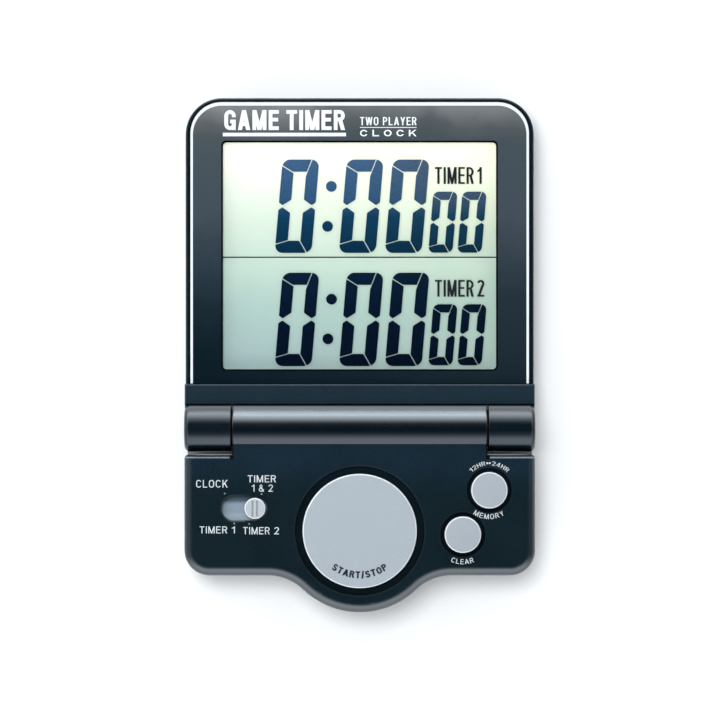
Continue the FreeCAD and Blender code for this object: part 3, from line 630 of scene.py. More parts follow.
SMALL_BUTTON = plastic("small_button_caps", srgb(158, 165, 172),
                       rim_highlight=(BUTTON_RIM_HIGHLIGHT, top_of("memory_button") - 0.0002), **BUTTON_CAP)
KNOB = plastic("knob_cap", srgb(174, 181, 188), grain=0.00016, wear_color=srgb(226, 230, 233),
               crevice_shade=0.2, rim_highlight=(srgb(226, 227, 226), top_of("mode_knob")),
               zones=KNOB_ZONES, **CAP)
WASHER = plastic("dark_washer", srgb(12, 15, 17), rough=0.4)
LENS = lens_material()
LCD = lcd_material()
SEGMENT = segment_material()
WHITE = print_ink("white_print", srgb(236, 240, 242))
SOFT_WHITE = print_ink("white_pad_print", srgb(205, 212, 214))
SEAM = rubber("seam_gasket", srgb(62, 78, 78), rough=0.7)
# painted glint along the edge of a cell
SEAM_EDGE_GLINT = print_ink("cell_edge", srgb(226, 238, 228))
FAINT = print_ink("faint_print", srgb(120, 132, 140))
DARK = print_ink("dark_print", srgb(16, 26, 38))
LABEL = print_ink("cell_label_print", srgb(20, 28, 36))
FOOT = rubber("foot_rubber", srgb(30, 32, 34))
DOME = rubber("dome_silicone", srgb(178, 176, 168), rough=0.55)
PILL = rubber("carbon_pill", srgb(18, 18, 18), rough=0.6)
ZEBRA = rubber("zebra_elastomer", srgb(160, 112, 112), rough=0.6)
CABLE = rubber("cable_jacket", srgb(58, 60, 66), rough=0.5)
STEEL = metal("plated_steel", (0.58, 0.58, 0.6, 1))
SCREW = metal("black_zinc_screw", (0.11, 0.11, 0.12, 1), rough=0.48)
NICKEL = metal("nickel_contact", (0.7, 0.68, 0.62, 1), rough=0.22, brushed=False)
CELL = metal("cell_can", (0.66, 0.67, 0.69, 1), rough=0.26)
BRASS = metal("buzzer_brass", (0.72, 0.55, 0.22, 1))
FOIL = metal("reflector_foil", (0.8, 0.82, 0.8, 1), rough=0.55, brushed=False)
HOLDER = plastic("natural_plastic", srgb(205, 205, 198), rough=0.5, vary=0.04, wear=0.1)
SWITCH = plastic("switch_black", srgb(28, 28, 30), rough=0.4)
EPOXY = rubber("chip_epoxy", srgb(16, 16, 17), rough=0.35, grain=0.0008)
CERAMIC = plastic("ceramic_cap", srgb(158, 128, 96), rough=0.4, vary=0.08)
BOARD = board("solder_mask")

# material and the frame pieces made of it
PIECES = (
    (SHELL, "base_top_shell"),
    (HEAD, "display_front_frame"),
    (COVER, "base_bottom_cover display_rear_cover"),
    (DOOR, "battery_door"),
    (BUTTON, "start_stop_button"),
    (SMALL_BUTTON, "memory_button clear_button"),
    (KNOB, "mode_knob"),
    (WASHER, "hinge_washers"),
    (LENS, "display_lens"),
    (LCD, "lcd_upper lcd_lower"),
    (FOOT, "base_feet display_feet"),
    (DOME, "start_stop_dome memory_dome clear_dome"),
    (PILL, "start_stop_pill memory_pill clear_pill"),
    (ZEBRA, "zebra_strips"),
    (CABLE, "hinge_cable_base hinge_cable_head buzzer_wires"),
    (STEEL, "hinge_pin hinge_bush timing_crystal"),
    (SCREW, "base_case_screws button_board_screws main_board_screws display_case_screws"),
    (NICKEL, "battery_positive_clip battery_negative_spring"),
    (CELL, "coin_cell"),
    (BRASS, "buzzer_disc"),
    (FOIL, "lcd_reflectors"),
    (HOLDER, "battery_holder mode_switch_slider lcd_holder_frame"),
    (SWITCH, "mode_switch_body"),
    (EPOXY, "controller_chip_blob"),
    (CERAMIC, "board_capacitors"),
    (BOARD, "button_board main_board"),
)
piece_material = {piece: material for material, pieces in PIECES for piece in pieces.split()}
for piece, obj in frame["nodes"].items():
    obj.data.materials.clear()
    obj.data.materials.append(piece_material[piece])


# --------------------------------------------------------------- mesh helpers
def new_object(name, shape, material, body):
    """Object from a bmesh, riding on a body of the frame."""
    bmesh.ops.recalc_face_normals(shape, faces=shape.faces)
    mesh = bpy.data.meshes.new(name)
    shape.to_mesh(mesh)
    shape.free()
    made = bpy.data.objects.new(name, mesh)
    bpy.context.scene.collection.objects.link(made)
    mesh.materials.append(material)
    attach(made, body)
    return made


def slabs(name, outlines, bottom, thick, material, body):
    """Object of closed prisms on counter-clockwise outlines."""
    shape = bmesh.new()
    for outline in outlines:
        low = [shape.verts.new((x, y, bottom)) for x, y in outline]
        high = [shape.verts.new((x, y, bottom + thick)) for x, y in outline]
        shape.faces.new(high)
        shape.faces.new(low[::-1])
        for i in range(len(outline)):
            j = (i + 1) % len(outline)
            shape.faces.new((low[i], low[j], high[j], high[i]))
    new_object(name, shape, material, body)


def bar(x0, y0, x1, y1):
    return [(x0, y0), (x1, y0), (x1, y1), (x0, y1)]


def disc(x_mm, y_mm, radius_mm, steps):
    """Circle outline from a centre given from the hinge."""
    x, y, radius = x_mm * MM, HINGE_Y + y_mm * MM, radius_mm * MM
    angles = [2 * math.pi * k / steps for k in range(steps)]
    return [(x + radius * math.cos(a), y + radius * math.sin(a)) for a in angles]


def clip(outline, line):
    """Part of an outline left of a line."""
    start, end = line

    def side(point):
        return ((end[0] - start[0]) * (point[1] - start[1])
                - (end[1] - start[1]) * (point[0] - start[0]))

    kept = []
    for i, here in enumerate(outline):
        there = outline[(i + 1) % len(outline)]
        side_here, side_there = side(here), side(there)
        if side_here >= 0:
            kept.append(here)
        if (side_here >= 0) != (side_there >= 0):
            t = side_here / (side_here - side_there)
            kept.append((here[0] + (there[0] - here[0]) * t, here[1] + (there[1] - here[1]) * t))
    return kept


def clean(outline, closest):
    """Outline without points nearer together than closest."""
    kept = []
    for point in outline:
        if not kept or math.hypot(point[0] - kept[-1][0], point[1] - kept[-1][1]) > closest:
            kept.append(point)
    if len(kept) > 1 and math.hypot(kept[0][0] - kept[-1][0], kept[0][1] - kept[-1][1]) < closest:
        kept.pop()
    return kept


def soften(outline, radius, steps=3):
    """Outline with each corner rounded."""
    points = []
    for i in range(len(outline)):
        corner = Vector(outline[i])
        back = Vector(outline[i - 1]) - corner
        ahead = Vector(outline[(i + 1) % len(outline)]) - corner
        if (back.length < 1e-9 or ahead.length < 1e-9
                or back.angle(ahead) > math.radians(160)):
            points.append(tuple(corner))
            continue
        reach = min(radius, back.length * 0.45, ahead.length * 0.45)
        start = corner + back / back.length * reach
        end = corner + ahead / ahead.length * reach
        for k in range(steps + 1):
            t = k / steps
            points.append(tuple(start * (1 - t) ** 2 + corner * 2 * t * (1 - t) + end * t ** 2))
    return points


# --------------------------------------------- rubber domes under the buttons
def dome(button, centre, base_radius, top_radius, steps=40):
    """Turned silicone dome."""
    low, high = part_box(button + "_dome")
    bottom, top = low.z, high.z
    wall = 0.0006
    flange_top = bottom + 0.00045
    fractions = [k / 6 for k in range(1, 6)]
    profile = [(0.0, top), (top_radius * 0.5, top), (top_radius - 0.0002, top),
               (top_radius, top - 0.00008)]
    for t in fractions:                                     # slightly bowed outer wall
        profile.append((top_radius + (base_radius + wall - top_radius) * t
                        + 0.00004 * math.sin(math.pi * t), top + (flange_top - top) * t))
    profile += [(base_radius + wall, flange_top), (base_radius + 0.00094, flange_top),
                (base_radius + 0.001, bottom + 0.00039), (base_radius + 0.001, bottom),
                (base_radius, bottom)]
    for t in fractions:                                     # straight inner wall
        profile.append((base_radius + (top_radius - wall - base_radius) * t,
                        bottom + (top - wall - bottom) * t))
    profile += [(top_radius - wall, top - wall), ((top_radius - wall) * 0.5, top - wall),
                (0.0, top - wall)]

    shape = bmesh.new()
    rings = []
    for radius, z in profile:
        angles = [2 * math.pi * i / steps for i in range(steps if radius else 1)]
        rings.append([shape.verts.new((centre.x + radius * math.cos(a),
                                       centre.y + radius * math.sin(a), z)) for a in angles])
    for ring, following in zip(rings, rings[1:]):
        for i in range(steps):
            j = (i + 1) % steps
            if len(ring) == 1:
                shape.faces.new((ring[0], following[i], following[j]))
            elif len(following) == 1:
                shape.faces.new((ring[i], following[0], ring[j]))
            else:
                shape.faces.new((ring[i], following[i], following[j], ring[j]))
    for face in shape.faces:
        face.smooth = True
    made = new_object(button + "_dome_rubber", shape, DOME, "base")
    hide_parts(button + "_dome")
    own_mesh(made)


dome("start_stop", START_CENTRE, base_radius=0.0042, top_radius=0.0032)
dome("memory", MEMORY_CENTRE, base_radius=0.0026, top_radius=0.0022)
dome("clear", CLEAR_CENTRE, base_radius=0.0026, top_radius=0.0022)

# ------------------------------------------------------------ LCD digits
SLANT = 0.085
SEGMENT_BOTTOM = LCD_TOP + 0.00030
SEGMENT_THICK = 0.00003
MITRE_WIDTH = 9.84                    # digit width in mm for which the mitres are drawn
# mm; stem and thin are the weights of upright and level segments
BIG_DIGIT = dict(width=10.0, height=25.4, stem=3.28, thin=3.3, radius=2.15, gap=0.26)
SMALL_DIGIT = dict(width=6.59, height=16.6, stem=2.22, thin=2.25, radius=1.6, gap=0.2)
# mm, left side of each digit at half its height
BIG_LEFTS = (-22.068, -4.582, 7.916)
SMALL_LEFTS = (19.343, 27.259)
# mm: middle of the big digits, middle of the small ones, colon dots
DIGIT_ROWS = (
    (60.469, 56.131, ((-7.726, 65.864), (-8.757, 54.993))),
    (29.672, 25.497, ((-7.672, 35.175), (-8.648, 24.358))),
)
COLON_RADIUS = 1.46                   # mm


def digit_zero(width, height, stem, thin, radius, gap):
    """The six lit segments of a 0 in mm, unslanted, its lower left corner at the origin."""
    outer = []
    for x, y, start in ((width - radius, radius, -90), (width - radius, height - radius, 0),
                        (radius, height - radius, 90), (radius, radius, 180)):
        for k in range(9):
            angle = math.radians(start + 90 * k / 8)
            outer.append((x + radius * math.cos(angle), y + radius * math.sin(angle)))
    unit = width / MITRE_WIDTH
    middle = height / 2

    def shifted(line, distance):
        """Line moved to its left."""
        (x0, y0), (x1, y1) = line
        length = math.hypot(x1 - x0, y1 - y0)
        move_x, move_y = -(y1 - y0) / length * distance, (x1 - x0) / length * distance
        return (x0 + move_x, y0 + move_y), (x1 + move_x, y1 + move_y)

    def mitre(line, over):
        """Side of a mitre, half a gap away from it; over picks the left side."""
        return shifted(line, gap / 2) if over else shifted(line, -gap / 2)[::-1]

    def waist(right, lower):
        """Two cuts that point an upright segment toward the middle of its side."""
        points = [(width - x if right else x, middle - y if lower else middle + y)
                  for x, y in ((0.0, 1.0 * unit), (1.03 * unit, 0.28 * unit),
                               (stem, 1.77 * unit))]
        side, tip, inner = points
        return ((tip, side), (inner, tip)) if right != lower else ((side, tip), (tip, inner))

    top_left = ((0.0, height - 1.6 * unit), (3.08 * unit, height - 3.42 * unit))
    top_right = ((6.87 * unit, height - 3.27 * unit), (7.9 * unit, height))
    low_left = ((0.0, 2.33 * unit), (3.26 * unit, 3.3 * unit))
    low_right = ((6.45 * unit, 3.2 * unit), (8.3 * unit, 0.35 * unit))
    left_bar = ((stem, 0), (stem, height))
    right_bar = ((width - stem, height), (width - stem, 0))
    cuts = (
        # top, upper left, upper right, lower left, lower right, bottom
        (((0, height - thin), (width, height - thin)), mitre(top_left, True),
         mitre(top_right, True)),
        (left_bar, mitre(top_left, False), *waist(right=False, lower=False)),
        (right_bar, mitre(top_right, False), *waist(right=True, lower=False)),
        (left_bar, mitre(low_left, True), *waist(right=False, lower=True)),
        (right_bar, mitre(low_right, True), *waist(right=True, lower=True)),
        (((width, thin), (0, thin)), mitre(low_left, False), mitre(low_right, False)),
    )
    segments = []
    for lines in cuts:
        segment = outer
        for line in lines:
            segment = clip(segment, line)
        segments.append(soften(clean(segment, closest=0.01), 0.22 * unit))
    return segments


def place_digit(name, left, middle, digit):
    half = digit["height"] / 2
    x0, y0 = left * MM, HINGE_Y + middle * MM - half * MM
    outlines = [[(x0 + (x + SLANT * (y - half)) * MM, y0 + y * MM) for x, y in segment]
                for segment in digit_zero(**digit)]
    slabs(name, outlines, SEGMENT_BOTTOM, SEGMENT_THICK, SEGMENT, "display")


for row, (big_middle, small_middle, dots) in enumerate(DIGIT_ROWS, 1):
    for k, left in enumerate(BIG_LEFTS, 1):
        place_digit(f"lcd_row{row}_digit{k}", left, big_middle, BIG_DIGIT)
    for k, left in enumerate(SMALL_LEFTS, 1):
        place_digit(f"lcd_row{row}_small{k}", left, small_middle, SMALL_DIGIT)
    slabs(f"lcd_row{row}_colon", [disc(x, y, COLON_RADIUS, steps=40) for x, y in dots],
          SEGMENT_BOTTOM, SEGMENT_THICK, SEGMENT, "display")

# strips between the two cells: name, near and far side in mm, thickness, material; the pale edge
# strip is a painted glint on the cell edge
for name, near, far, thick, material in (
        ("lcd_seam_gasket", 46.372, 46.751, 0.00012, SEAM),
        ("lcd_seam_edge", 45.992, 46.345, 0.00006, SEAM_EDGE_GLINT)):
    strip = bar(WIN_LEFT - 0.0004, HINGE_Y + near * MM, WIN_RIGHT + 0.0004, HINGE_Y + far * MM)
    slabs(name, [soften(strip, 0.05 * MM, steps=2)], LCD_TOP + 0.00002, thick, material,
          "display")


# ------------------------------------------------------------------ lettering
# A plain block letter set drawn from bars, slanted strokes and arcs, one unit high.
# stem is the weight of uprights, thin that of level parts.
LETTER_WIDTHS = {                     # times the width of a normal letter
    "T": 0.98, "L": 0.9, "E": 0.92, "M": 1.28, "W": 1.5, "A": 1.12, "Y": 1.08, "K": 1.04,
    "R": 1.02, "O": 1.06, "C": 1.04, "G": 1.04, "1": 0.62, "4": 1.05, "&": 1.15, "/": 0.62}


def stroke(x0, y0, x1, y1, half):
    """Slanted stroke with level ends; half is half its level width."""
    return [(x0 - half, y0), (x0 + half, y0), (x1 + half, y1), (x1 - half, y1)]


def arc(x, y, radius_x, radius_y, start, end, stem, thin):
    steps = max(4, int(14 * abs(end - start) / 180) + 1)
    angles = [math.radians(start + (end - start) * k / steps) for k in range(steps + 1)]
    outer = [(x + radius_x * math.cos(a), y + radius_y * math.sin(a)) for a in angles]
    inner = [(x + (radius_x - stem) * math.cos(a), y + (radius_y - thin) * math.sin(a))
             for a in reversed(angles)]
    return outer + inner


def bowl(width, stem, thin, low):
    """Right-hand bowl from low up to the top."""
    radius = (1 - low) / 2
    radius_x = min(radius, width * 0.62)
    straight = width - radius_x + 0.001
    return [bar(0, 1 - thin, straight, 1), bar(0, low, straight, low + thin),
            arc(width - radius_x, (low + 1) / 2, radius_x, radius, -90, 90, stem, thin)]


def glyph(char, width, stem):
    """Parts of one character, and its width."""
    thin = stem * 0.86
    half = stem * 0.54
    wide = width * LETTER_WIDTHS.get(char, 1)
    centre = wide / 2
    right = wide - stem
    top = 1 - thin
    upright = bar(0, 0, stem, 1)
    foot = bar(0, 0, wide, thin)
    if char in "OCG":
        radius = min(0.5, (wide if char == "O" else width) / 2)
        opening = 24 if char == "C" else 0
        low, high = radius - 0.001, 1 - radius + 0.001
        parts = [arc(centre, 1 - radius, centre, radius, opening, 180, stem, thin),
                 arc(centre, radius, centre, radius, 180, 360 - opening, stem, thin),
                 bar(0, low, stem, high)]
        if char == "O":
            parts.append(bar(right, low, wide, high))
        elif char == "G":
            parts += [bar(right, 1 - radius - 0.05, wide, high), bar(right, 0, wide, 0.52),
                      bar(wide * 0.52, 0.52 - thin, wide, 0.52)]
        return parts, wide
    curl = (1 + thin) / 4             # height radius of an S
    hook = min(0.3, centre)           # height radius of a 2
    parts = {
        "I": [upright],
        "T": [bar(0, top, wide, 1), bar(centre - stem / 2, 0, centre + stem / 2, 1)],
        "L": [upright, foot],
        "E": [upright, foot, bar(0, top, wide, 1),
              bar(0, 0.52 - thin / 2, wide * 0.93, 0.52 + thin / 2)],
        "H": [upright, bar(right, 0, wide, 1), bar(0, 0.52 - thin / 2, wide, 0.52 + thin / 2)],
        "M": [upright, bar(right, 0, wide, 1),
              stroke(centre, 0, stem * 0.55, 1, half * 0.98),
              stroke(centre, 0, wide - stem * 0.55, 1, half * 0.98)],
        "W": [stroke(wide * 0.27, 0, half, 1, half), stroke(wide * 0.27, 0, centre, 1, half * 0.9),
              stroke(wide * 0.73, 0, centre, 1, half * 0.9),
              stroke(wide * 0.73, 0, wide - half, 1, half)],
        "A": [stroke(half, 0, centre, 1, half), stroke(wide - half, 0, centre, 1, half),
              bar(wide * 0.2, 0.2, wide * 0.8, 0.2 + thin)],
        "Y": [stroke(centre, 0.38, half, 1, half), stroke(centre, 0.38, wide - half, 1, half),
              bar(centre - stem / 2, 0, centre + stem / 2, 0.45)],
        "K": [upright, stroke(stem * 0.6, 0.3, wide - half * 1.2, 1, half * 1.15),
              stroke(wide - half, 0, wide * 0.42, 0.62, half)],
        "P": [upright, *bowl(width, stem, thin, low=0.4)],
        "R": [upright, *bowl(width, stem, thin, low=0.44),
              stroke(wide - half, 0, width * 0.58, 0.5, half)],
        "S": [arc(centre, 1 - curl, centre, curl, 18, 272, stem, thin),
              arc(centre, curl, centre, curl, -162, 92, stem, thin)],
        "1": [bar(right, 0, wide, 1),
              [(0, 0.68), (right + 0.001, 0.76), (right + 0.001, 1.0),
               (wide - stem * 0.6, 1.0), (right, 0.92), (0, 0.68 + thin)]],
        "2": [arc(centre, 1 - hook, centre, hook, -20, 170, stem, thin),
              stroke(half * 1.2, 0.02, wide - half * 1.15, 1 - hook - 0.06, half * 1.1), foot],
        "4": [bar(wide * 0.6, 0, wide * 0.6 + stem, 1), bar(0, 0.2, wide, 0.2 + thin),
              stroke(half * 0.95, 0.2 + thin * 0.3, wide * 0.6 + stem * 0.35, 1, half * 0.9)],
        "&": [arc(wide * 0.42, 0.76, wide * 0.27, 0.24, -180, 180, stem * 0.85, thin * 0.85),
              arc(wide * 0.42, 0.28, wide * 0.42, 0.28, 40, 330, stem, thin),
              stroke(wide - half, 0, wide * 0.24, 0.66, half),
              arc(wide * 0.46, 0.32, wide * 0.5, 0.32, -62, 8, stem, thin)],
        "/": [stroke(half, -0.04, wide - half, 1.04, half)],
        "=": [bar(0, 0.3, 0.3, 0.72), bar(0.42, 0.3, 0.72, 0.72)],
    }[char]
    return parts, {"I": stem, "=": 0.72}.get(char, wide)


def text_faces(text, width, stem, gap, space=0.0):
    """Merged flat outline of a line of text: vertices, faces and length."""
    verts, faces = [], []
    x = 0.0
    for char in text:
        if char == " ":
            x += space
            continue
        parts, advance = glyph(char, width, stem)
        for part in parts:
            part = [(x + u, v) for u, v in part]
            area = sum(a[0] * b[1] - b[0] * a[1] for a, b in zip(part, part[1:] + part[:1]))
            if area < 0:
                part = part[::-1]
            faces.append(list(range(len(verts), len(verts) + len(part))))
            verts += [Vector(point) for point in part]
        x += advance + gap
    merged, _, pieces, _, _, origins = geometry.delaunay_2d_cdt(verts, [], faces, 0, 1e-5)
    return merged, [piece for piece, origin in zip(pieces, origins) if origin], x - gap


def text_solid(text, place, thick, style):
    """Closed thin solid of a line of text.

    place(u, v) gives the point for u 0..1 along the line and v 0..1 up it.
    """
    points, pieces, length = text_faces(text, **style)
    flat = bmesh.new()
    corners = [flat.verts.new((point[0] / length, point[1], 0)) for point in points]
    for piece in pieces:
        try:
            flat.faces.new([corners[i] for i in piece])
        except ValueError:            # a face that is there already, or repeats a corner
            pass
    loose = [vert for vert in flat.verts if not vert.link_faces]
    bmesh.ops.delete(flat, geom=loose, context="VERTS")
    bmesh.ops.dissolve_limit(flat, angle_limit=0.001, verts=flat.verts, edges=flat.edges)
    bmesh.ops.triangulate(flat, faces=flat.faces)
    flat.verts.index_update()
    shape = bmesh.new()
    low, high = [], []
    for vert in flat.verts:
        x, y, z = place(vert.co.x, vert.co.y)
        low.append(shape.verts.new((x, y, z)))
        high.append(shape.verts.new((x, y, z + thick)))
    for face in flat.faces:
        indices = [vert.index for vert in face.verts]
        shape.faces.new([high[i] for i in indices])
        shape.faces.new([low[i] for i in indices[::-1]])
    for edge in flat.edges:
        if len(edge.link_faces) == 1:
            i, j = edge.verts[0].index, edge.verts[1].index
            shape.faces.new((low[i], low[j], high[j], high[i]))
    flat.free()
    return shape


def flat_text(name, text, box, z, material, body, style, thick):
    """Text fitted to a box (left, right, bottom, top) in mm."""
    left, right = box[0] * MM, box[1] * MM
    bottom, top = HINGE_Y + box[2] * MM, HINGE_Y + box[3] * MM
    shape = text_solid(text, lambda u, v: (left + u * (right - left),
                                           bottom + v * (top - bottom), z), thick, style)
    new_object(name, shape, material, body)


def arc_text(name, text, centre, sizes, angle, inward, surface, material, body, style):
    """Text bent on a circle about centre; sizes are base radius, height and length in mm.

    inward: the letters stand toward the centre and read along the near side of the circle.
    """
    radius, height, length = (size * MM for size in sizes)
    middle = math.radians(angle)
    side = -1 if inward else 1

    def place(u, v):
        reach = radius + side * v * height
        turn = middle - side * (u - 0.5) * length / (radius + side * height / 2)
        x, y = centre.x + reach * math.cos(turn), centre.y + reach * math.sin(turn)
        return x, y, surface(x, y)

    new_object(name, text_solid(text, place, INK, style), material, body)


LIFT = 0.000004                       # keeps print clear of the face under it
INK = 0.00002                         # print thickness
LENS_PRINT_Z = LENS_HI.z + LIFT
SHELL_PRINT_Z = SHELL_TOP + LIFT


def on_shell(x, y):
    return SHELL_PRINT_Z


def on_start(x, y):
    """Domed top of the start button."""
    distance = math.hypot(x - START_CENTRE.x, y - START_CENTRE.y)
    return START_TOP - 0.00025 * (distance / 0.0149) ** 2 + 0.000012


# text boxes in mm: left, right, bottom, top
for name, text, box, style in (
        ("print_title", "GAME TIMER", (-36.788, -3.985, 81.072, 86.494),
         dict(width=0.62, stem=0.215, gap=0.12, space=0.3)),
        ("print_subtitle_upper", "TWO PLAYER", (0.081, 15.426, 82.374, 84.597),
         dict(width=0.52, stem=0.15, gap=0.16, space=0.36)),
        ("print_subtitle_lower", "CLOCK", (0.081, 15.426, 79.365, 81.127),
         dict(width=0.95, stem=0.2, gap=0.62))):
    flat_text(name, text, box, LENS_PRINT_Z, WHITE, "display", style, INK)

for name, left, right, bottom, top in (
        ("print_title_rule", -37.168, -3.714, 79.365, 80.313),
        ("print_subtitle_rule", 0.081, 15.426, 81.669, 81.859)):
    rule = bar(left * MM, HINGE_Y + bottom * MM, right * MM, HINGE_Y + top * MM)
    slabs(name, [rule], LENS_PRINT_Z, INK, WHITE, "display")

label_style = dict(width=0.4, stem=0.125, gap=0.09, space=0.1)
for name, text, box in (
        ("lcd_label_timer1", "TIMER 1", (20.468, 33.210, 66.541, 71.123)),
        ("lcd_label_timer2", "TIMER 2", (20.468, 33.915, 35.853, 40.407))):
    flat_text(name, text, box, SEGMENT_BOTTOM, LABEL, "display", label_style, SEGMENT_THICK)

legend_style = dict(width=0.66, stem=0.135, gap=0.2, space=0.42)
for name, text, box in (
        ("legend_clock", "CLOCK", (-44.216, -35.704, -15.873, -13.813)),
        ("legend_timer_both_upper", "TIMER", (-30.282, -22.637, -14.463, -12.538)),
        ("legend_timer_both_lower", "1 & 2", (-29.197, -23.450, -16.984, -15.060)),
        ("legend_timer1", "TIMER 1", (-43.295, -33.725, -28.262, -26.364)),
        ("legend_timer2", "TIMER 2", (-31.529, -21.824, -28.506, -26.554))):
    flat_text(name, text, box, SHELL_PRINT_Z, SOFT_WHITE, "base", legend_style, INK)

LEGEND_DOTS = ((-36.463, -17.500), (-26.514, -17.608), (-33.942, -25.578), (-29.848, -25.687))
slabs("legend_dots", [disc(x, y, 0.24, steps=16) for x, y in LEGEND_DOTS],
      SHELL_PRINT_Z, INK, FAINT, "base")

arc_text("legend_start_stop", "START/STOP", START_CENTRE, sizes=(12.75, 1.85, 15.4), angle=-90,
         inward=True, surface=on_start, material=DARK, body="start_stop",
         style=dict(width=0.7, stem=0.235, gap=0.15))
small_style = dict(width=0.64, stem=0.135, gap=0.22)
for name, text, centre, sizes, angle, inward, style in (
        ("legend_memory", "MEMORY", MEMORY_CENTRE, (7.8, 1.35, 8.3), -91, True, small_style),
        ("legend_clear", "CLEAR", CLEAR_CENTRE, (8.0, 1.35, 6.0), -91, True, small_style),
        ("legend_12hr_24hr", "12HR=24HR", MEMORY_CENTRE, (6.75, 1.15, 11.4), 90, False,
         dict(width=0.62, stem=0.135, gap=0.2))):
    arc_text(name, text, centre, sizes, angle, inward, on_shell, SOFT_WHITE, "base", style)


# ------------------------------------------------ white frame line on the lens
def head_outline(inset_side, inset_top, steps=14):
    """Open outline of the lens from its near left, round the far side, to its near right."""
    near = LENS_LO.y + 0.00012
    half_width = 0.04728 - inset_side
    radius = 0.0098 - inset_side
    corner_x, corner_y = half_width - radius, HINGE_Y + 0.08975 - inset_top - radius
    points = [(-half_width, near)]
    for x, start in ((-corner_x, math.pi), (corner_x, math.pi / 2)):
        for k in range(steps + 1):
            angle = start - math.pi / 2 * k / steps
            points.append((x + radius * math.cos(angle), corner_y + radius * math.sin(angle)))
    points.append((half_width, near))
    return points


def frame_line():
    outer = head_outline(inset_side=0.00132, inset_top=0.00112)
    inner = head_outline(inset_side=0.00197, inset_top=0.00205)
    low, high = LENS_PRINT_Z, LENS_PRINT_Z + INK
    shape = bmesh.new()
    rows = [[shape.verts.new((x, y, z)) for x, y in points]
            for points, z in ((outer, low), (outer, high), (inner, high), (inner, low))]
    for k in range(4):
        row, following = rows[k], rows[(k + 1) % 4]
        for i in range(len(row) - 1):
            shape.faces.new((row[i], row[i + 1], following[i + 1], following[i]))
    for end in (0, -1):
        shape.faces.new([row[end] for row in rows])
    new_object("print_frame_line", shape, WHITE, "display")


frame_line()

# ---------------------------------------------------------------- studio
scene = bpy.context.scene


def floor_material():
    """Pale paper with painted shadows under two gaps of the hinge, clear to light from below."""
    mat = material_shader("floor_paper")
    colour = mat.mix(mat.spread(mat.noise(30.0, roughness=0.5)),
                     (0.86, 0.86, 0.86, 1), (0.88, 0.88, 0.88, 1))
    x, y, z = mat.xyz()
    incoming = mat.split(mat.node("NewGeometry").outputs["Incoming"])
    steep = mat.remap(incoming[2], 0.97, 0.985)      # only when seen from straight above

    def within(axis, half_width):
        return mat.math("LESS_THAN", mat.size(axis), half_width)

    def painted_shadow_strip(near, far, half_width):
        """Painted shadow: soft strip along the hinge; near and far are (clear, dark) Y offsets."""
        return mat.mul(mat.remap(y, HINGE_Y + near[0], HINGE_Y + near[1]),
                       mat.remap(y, HINGE_Y + far[0], HINGE_Y + far[1]),
                       within(x, half_width), steep)

    # painted shadows under the gap between the ears and the base, and beside the hinge barrel
    slit_shadow = painted_shadow_strip(near=(-0.0086, -0.0076), far=(-0.0050, -0.0058), half_width=0.0472)
    line = painted_shadow_strip(near=(0.0054, 0.0060), far=(0.0078, 0.0072), half_width=0.0352)
    colour = mat.mix(slit_shadow, colour, (0.26, 0.27, 0.28, 1))
    lit = mat.sub(1.0, mat.math("MAXIMUM", slit_shadow, line))
    paper = mat.node("BsdfPrincipled", {
        "Base Color": mat.mix(line, colour, (0.004, 0.006, 0.008, 1)),
        "Emission Strength": mat.mul(lit, 0.09),
        "Roughness": 0.9,
        "Specular IOR Level": 0.1,
        "Emission Color": (1, 1, 1, 1),
    })

    # the paper can be looked through from below, and lets light reach the underside
    clear = mat.node("BsdfTransparent")
    backfacing = mat.node("NewGeometry").outputs["Backfacing"]
    under_x, under_y, under_z = mat.xyz()

    def patch(half_width, near, far):
        return mat.mul(within(under_x, half_width),
                       mat.mul(mat.math("LESS_THAN", under_y, far),
                               mat.math("GREATER_THAN", under_y, near)))

    body = patch(0.0455, near=HINGE_Y - 0.0365, far=cad_hi.y - 0.003)
    nose = patch(0.013, near=HINGE_Y - 0.0465, far=HINGE_Y - 0.036)
    camera_ray = mat.node("LightPath").outputs["Is Camera Ray"]
    under = mat.mul(mat.math("MAXIMUM", body, nose), mat.sub(1.0, camera_ray))
    return mat.finish(mat.node("MixShader", {
        0: mat.math("MAXIMUM", backfacing, under), 1: paper.outputs[0], 2: clear.outputs[0]}))


def build_floor():
    reach, z = 6.0, -0.00002
    shape = bmesh.new()
    shape.faces.new([shape.verts.new((x, y, z)) for x, y in bar(-reach, -reach, reach, reach)])
    mesh = bpy.data.meshes.new("floor")
    shape.to_mesh(mesh)
    shape.free()
    floor = bpy.data.objects.new("floor", mesh)
    scene.collection.objects.link(floor)
    mesh.materials.append(floor_material())


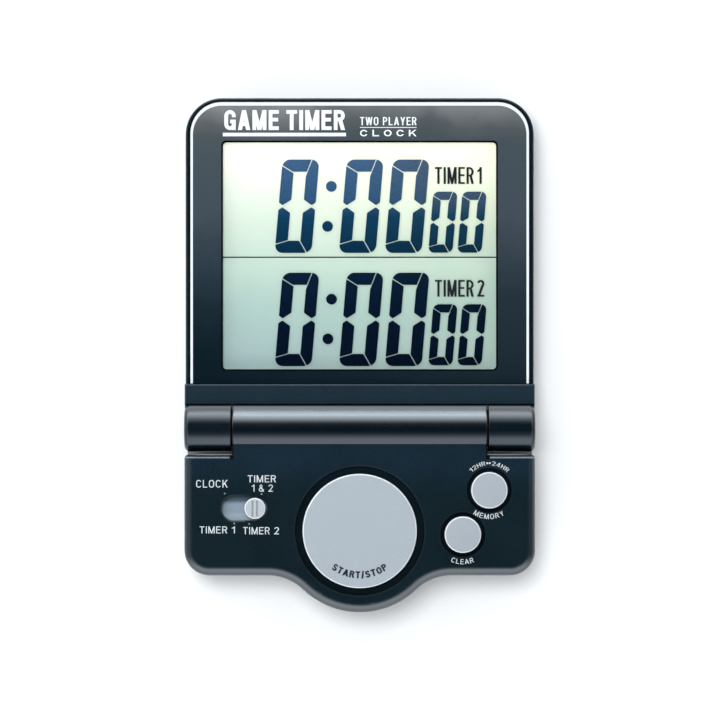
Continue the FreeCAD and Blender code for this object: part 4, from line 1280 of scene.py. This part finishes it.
def build_world():
    """Soft surround: dark overhead, bright low wall behind, weaker wall in front."""
    world = bpy.data.worlds.new("studio")
    scene.world = world
    sky = Shader(world, "OutputWorld")
    x, y, z = sky.split(sky.coords["Generated"])     # z: 1 overhead, 0 at the horizon
    heading = sky.vector("NORMALIZE", sky.flat(x, y))

    def glow(heights, toward, facing, strength=(0.0, 1.0)):
        """Light between two heights (dark, full), by how far it lies toward a direction."""
        length = math.hypot(*toward)
        direction = (toward[0] / length, toward[1] / length, 0)
        nearness = sky.vector("DOT_PRODUCT", heading, direction, out="Value")
        return sky.mul(sky.remap(z, *heights), sky.remap(nearness, *facing, *strength))

    # the ring starts about 30 degrees from the zenith
    ring = glow(heights=(0.87, 0.72), toward=(-0.75, 0.66), facing=(-1.0, 1.0),
                strength=(0.4, 1.05))
    low_wall = glow(heights=(0.30, 0.15), toward=(-0.12, 1.0), facing=(0.6, 0.97))
    high_wall = glow(heights=(0.66, 0.42), toward=(-0.12, 1.0), facing=(0.5, 0.97))
    wall = sky.add(sky.mul(low_wall, 5.5), sky.mul(high_wall, 0.6))
    front = sky.mul(glow(heights=(0.80, 0.55), toward=(0.0, -1.0), facing=(0.1, 0.9)), 1.4)
    above = sky.remap(z, -0.02, 0.02)
    upper = sky.mul(sky.add(sky.add(ring, wall), sky.add(front, 0.02)), above)
    lower = sky.mul(sky.sub(1.0, above), 3.2)
    surround = sky.node("Background", {"Strength": sky.add(upper, lower),
                                       "Color": (0.93, 0.97, 1.0, 1)})
    # even pale sweep, seen by the camera past the floor
    sweep = sky.node("Background", {"Color": (0.9, 0.93, 0.95, 1), "Strength": 0.92})
    sky.finish(sky.node("MixShader", {0: sky.node("LightPath").outputs["Is Camera Ray"],
                                      1: surround.outputs[0], 2: sweep.outputs[0]}))


def build_softbox():
    lamp = bpy.data.lights.new("overhead_softbox", "AREA")
    lamp.shape = "SQUARE"
    lamp.size = 0.6
    lamp.energy = 11.6
    lamp.color = (0.96, 0.985, 1.0)
    softbox = bpy.data.objects.new("overhead_softbox", lamp)
    scene.collection.objects.link(softbox)
    softbox.location = (-0.22, 0.3, 1.3)
    aim = -Vector(softbox.location)                  # toward the origin
    softbox.rotation_euler = aim.to_track_quat("-Z", "Y").to_euler()
    softbox.visible_glossy = False
    softbox.visible_camera = False


def build_camera():
    """Camera straight above, filling its width with view_width at focus_z."""
    view_width, focus_z = 195.4631 * MM, 0.012
    camera = bpy.data.objects.new("camera", bpy.data.cameras.new("camera"))
    scene.collection.objects.link(camera)
    optics = camera.data
    optics.sensor_width = 36.0
    optics.lens = 200.0
    distance = view_width * optics.lens / optics.sensor_width
    camera.location = (0.21688 * MM, HINGE_Y + 18.611015 * MM, focus_z + distance)
    camera.rotation_euler = (0, 0, 0)
    optics.clip_start = 0.05
    optics.clip_end = 20
    scene.camera = camera


build_floor()
build_world()
build_softbox()
build_camera()
scene.view_settings.view_transform = "Standard"
scene.view_settings.look = "None"
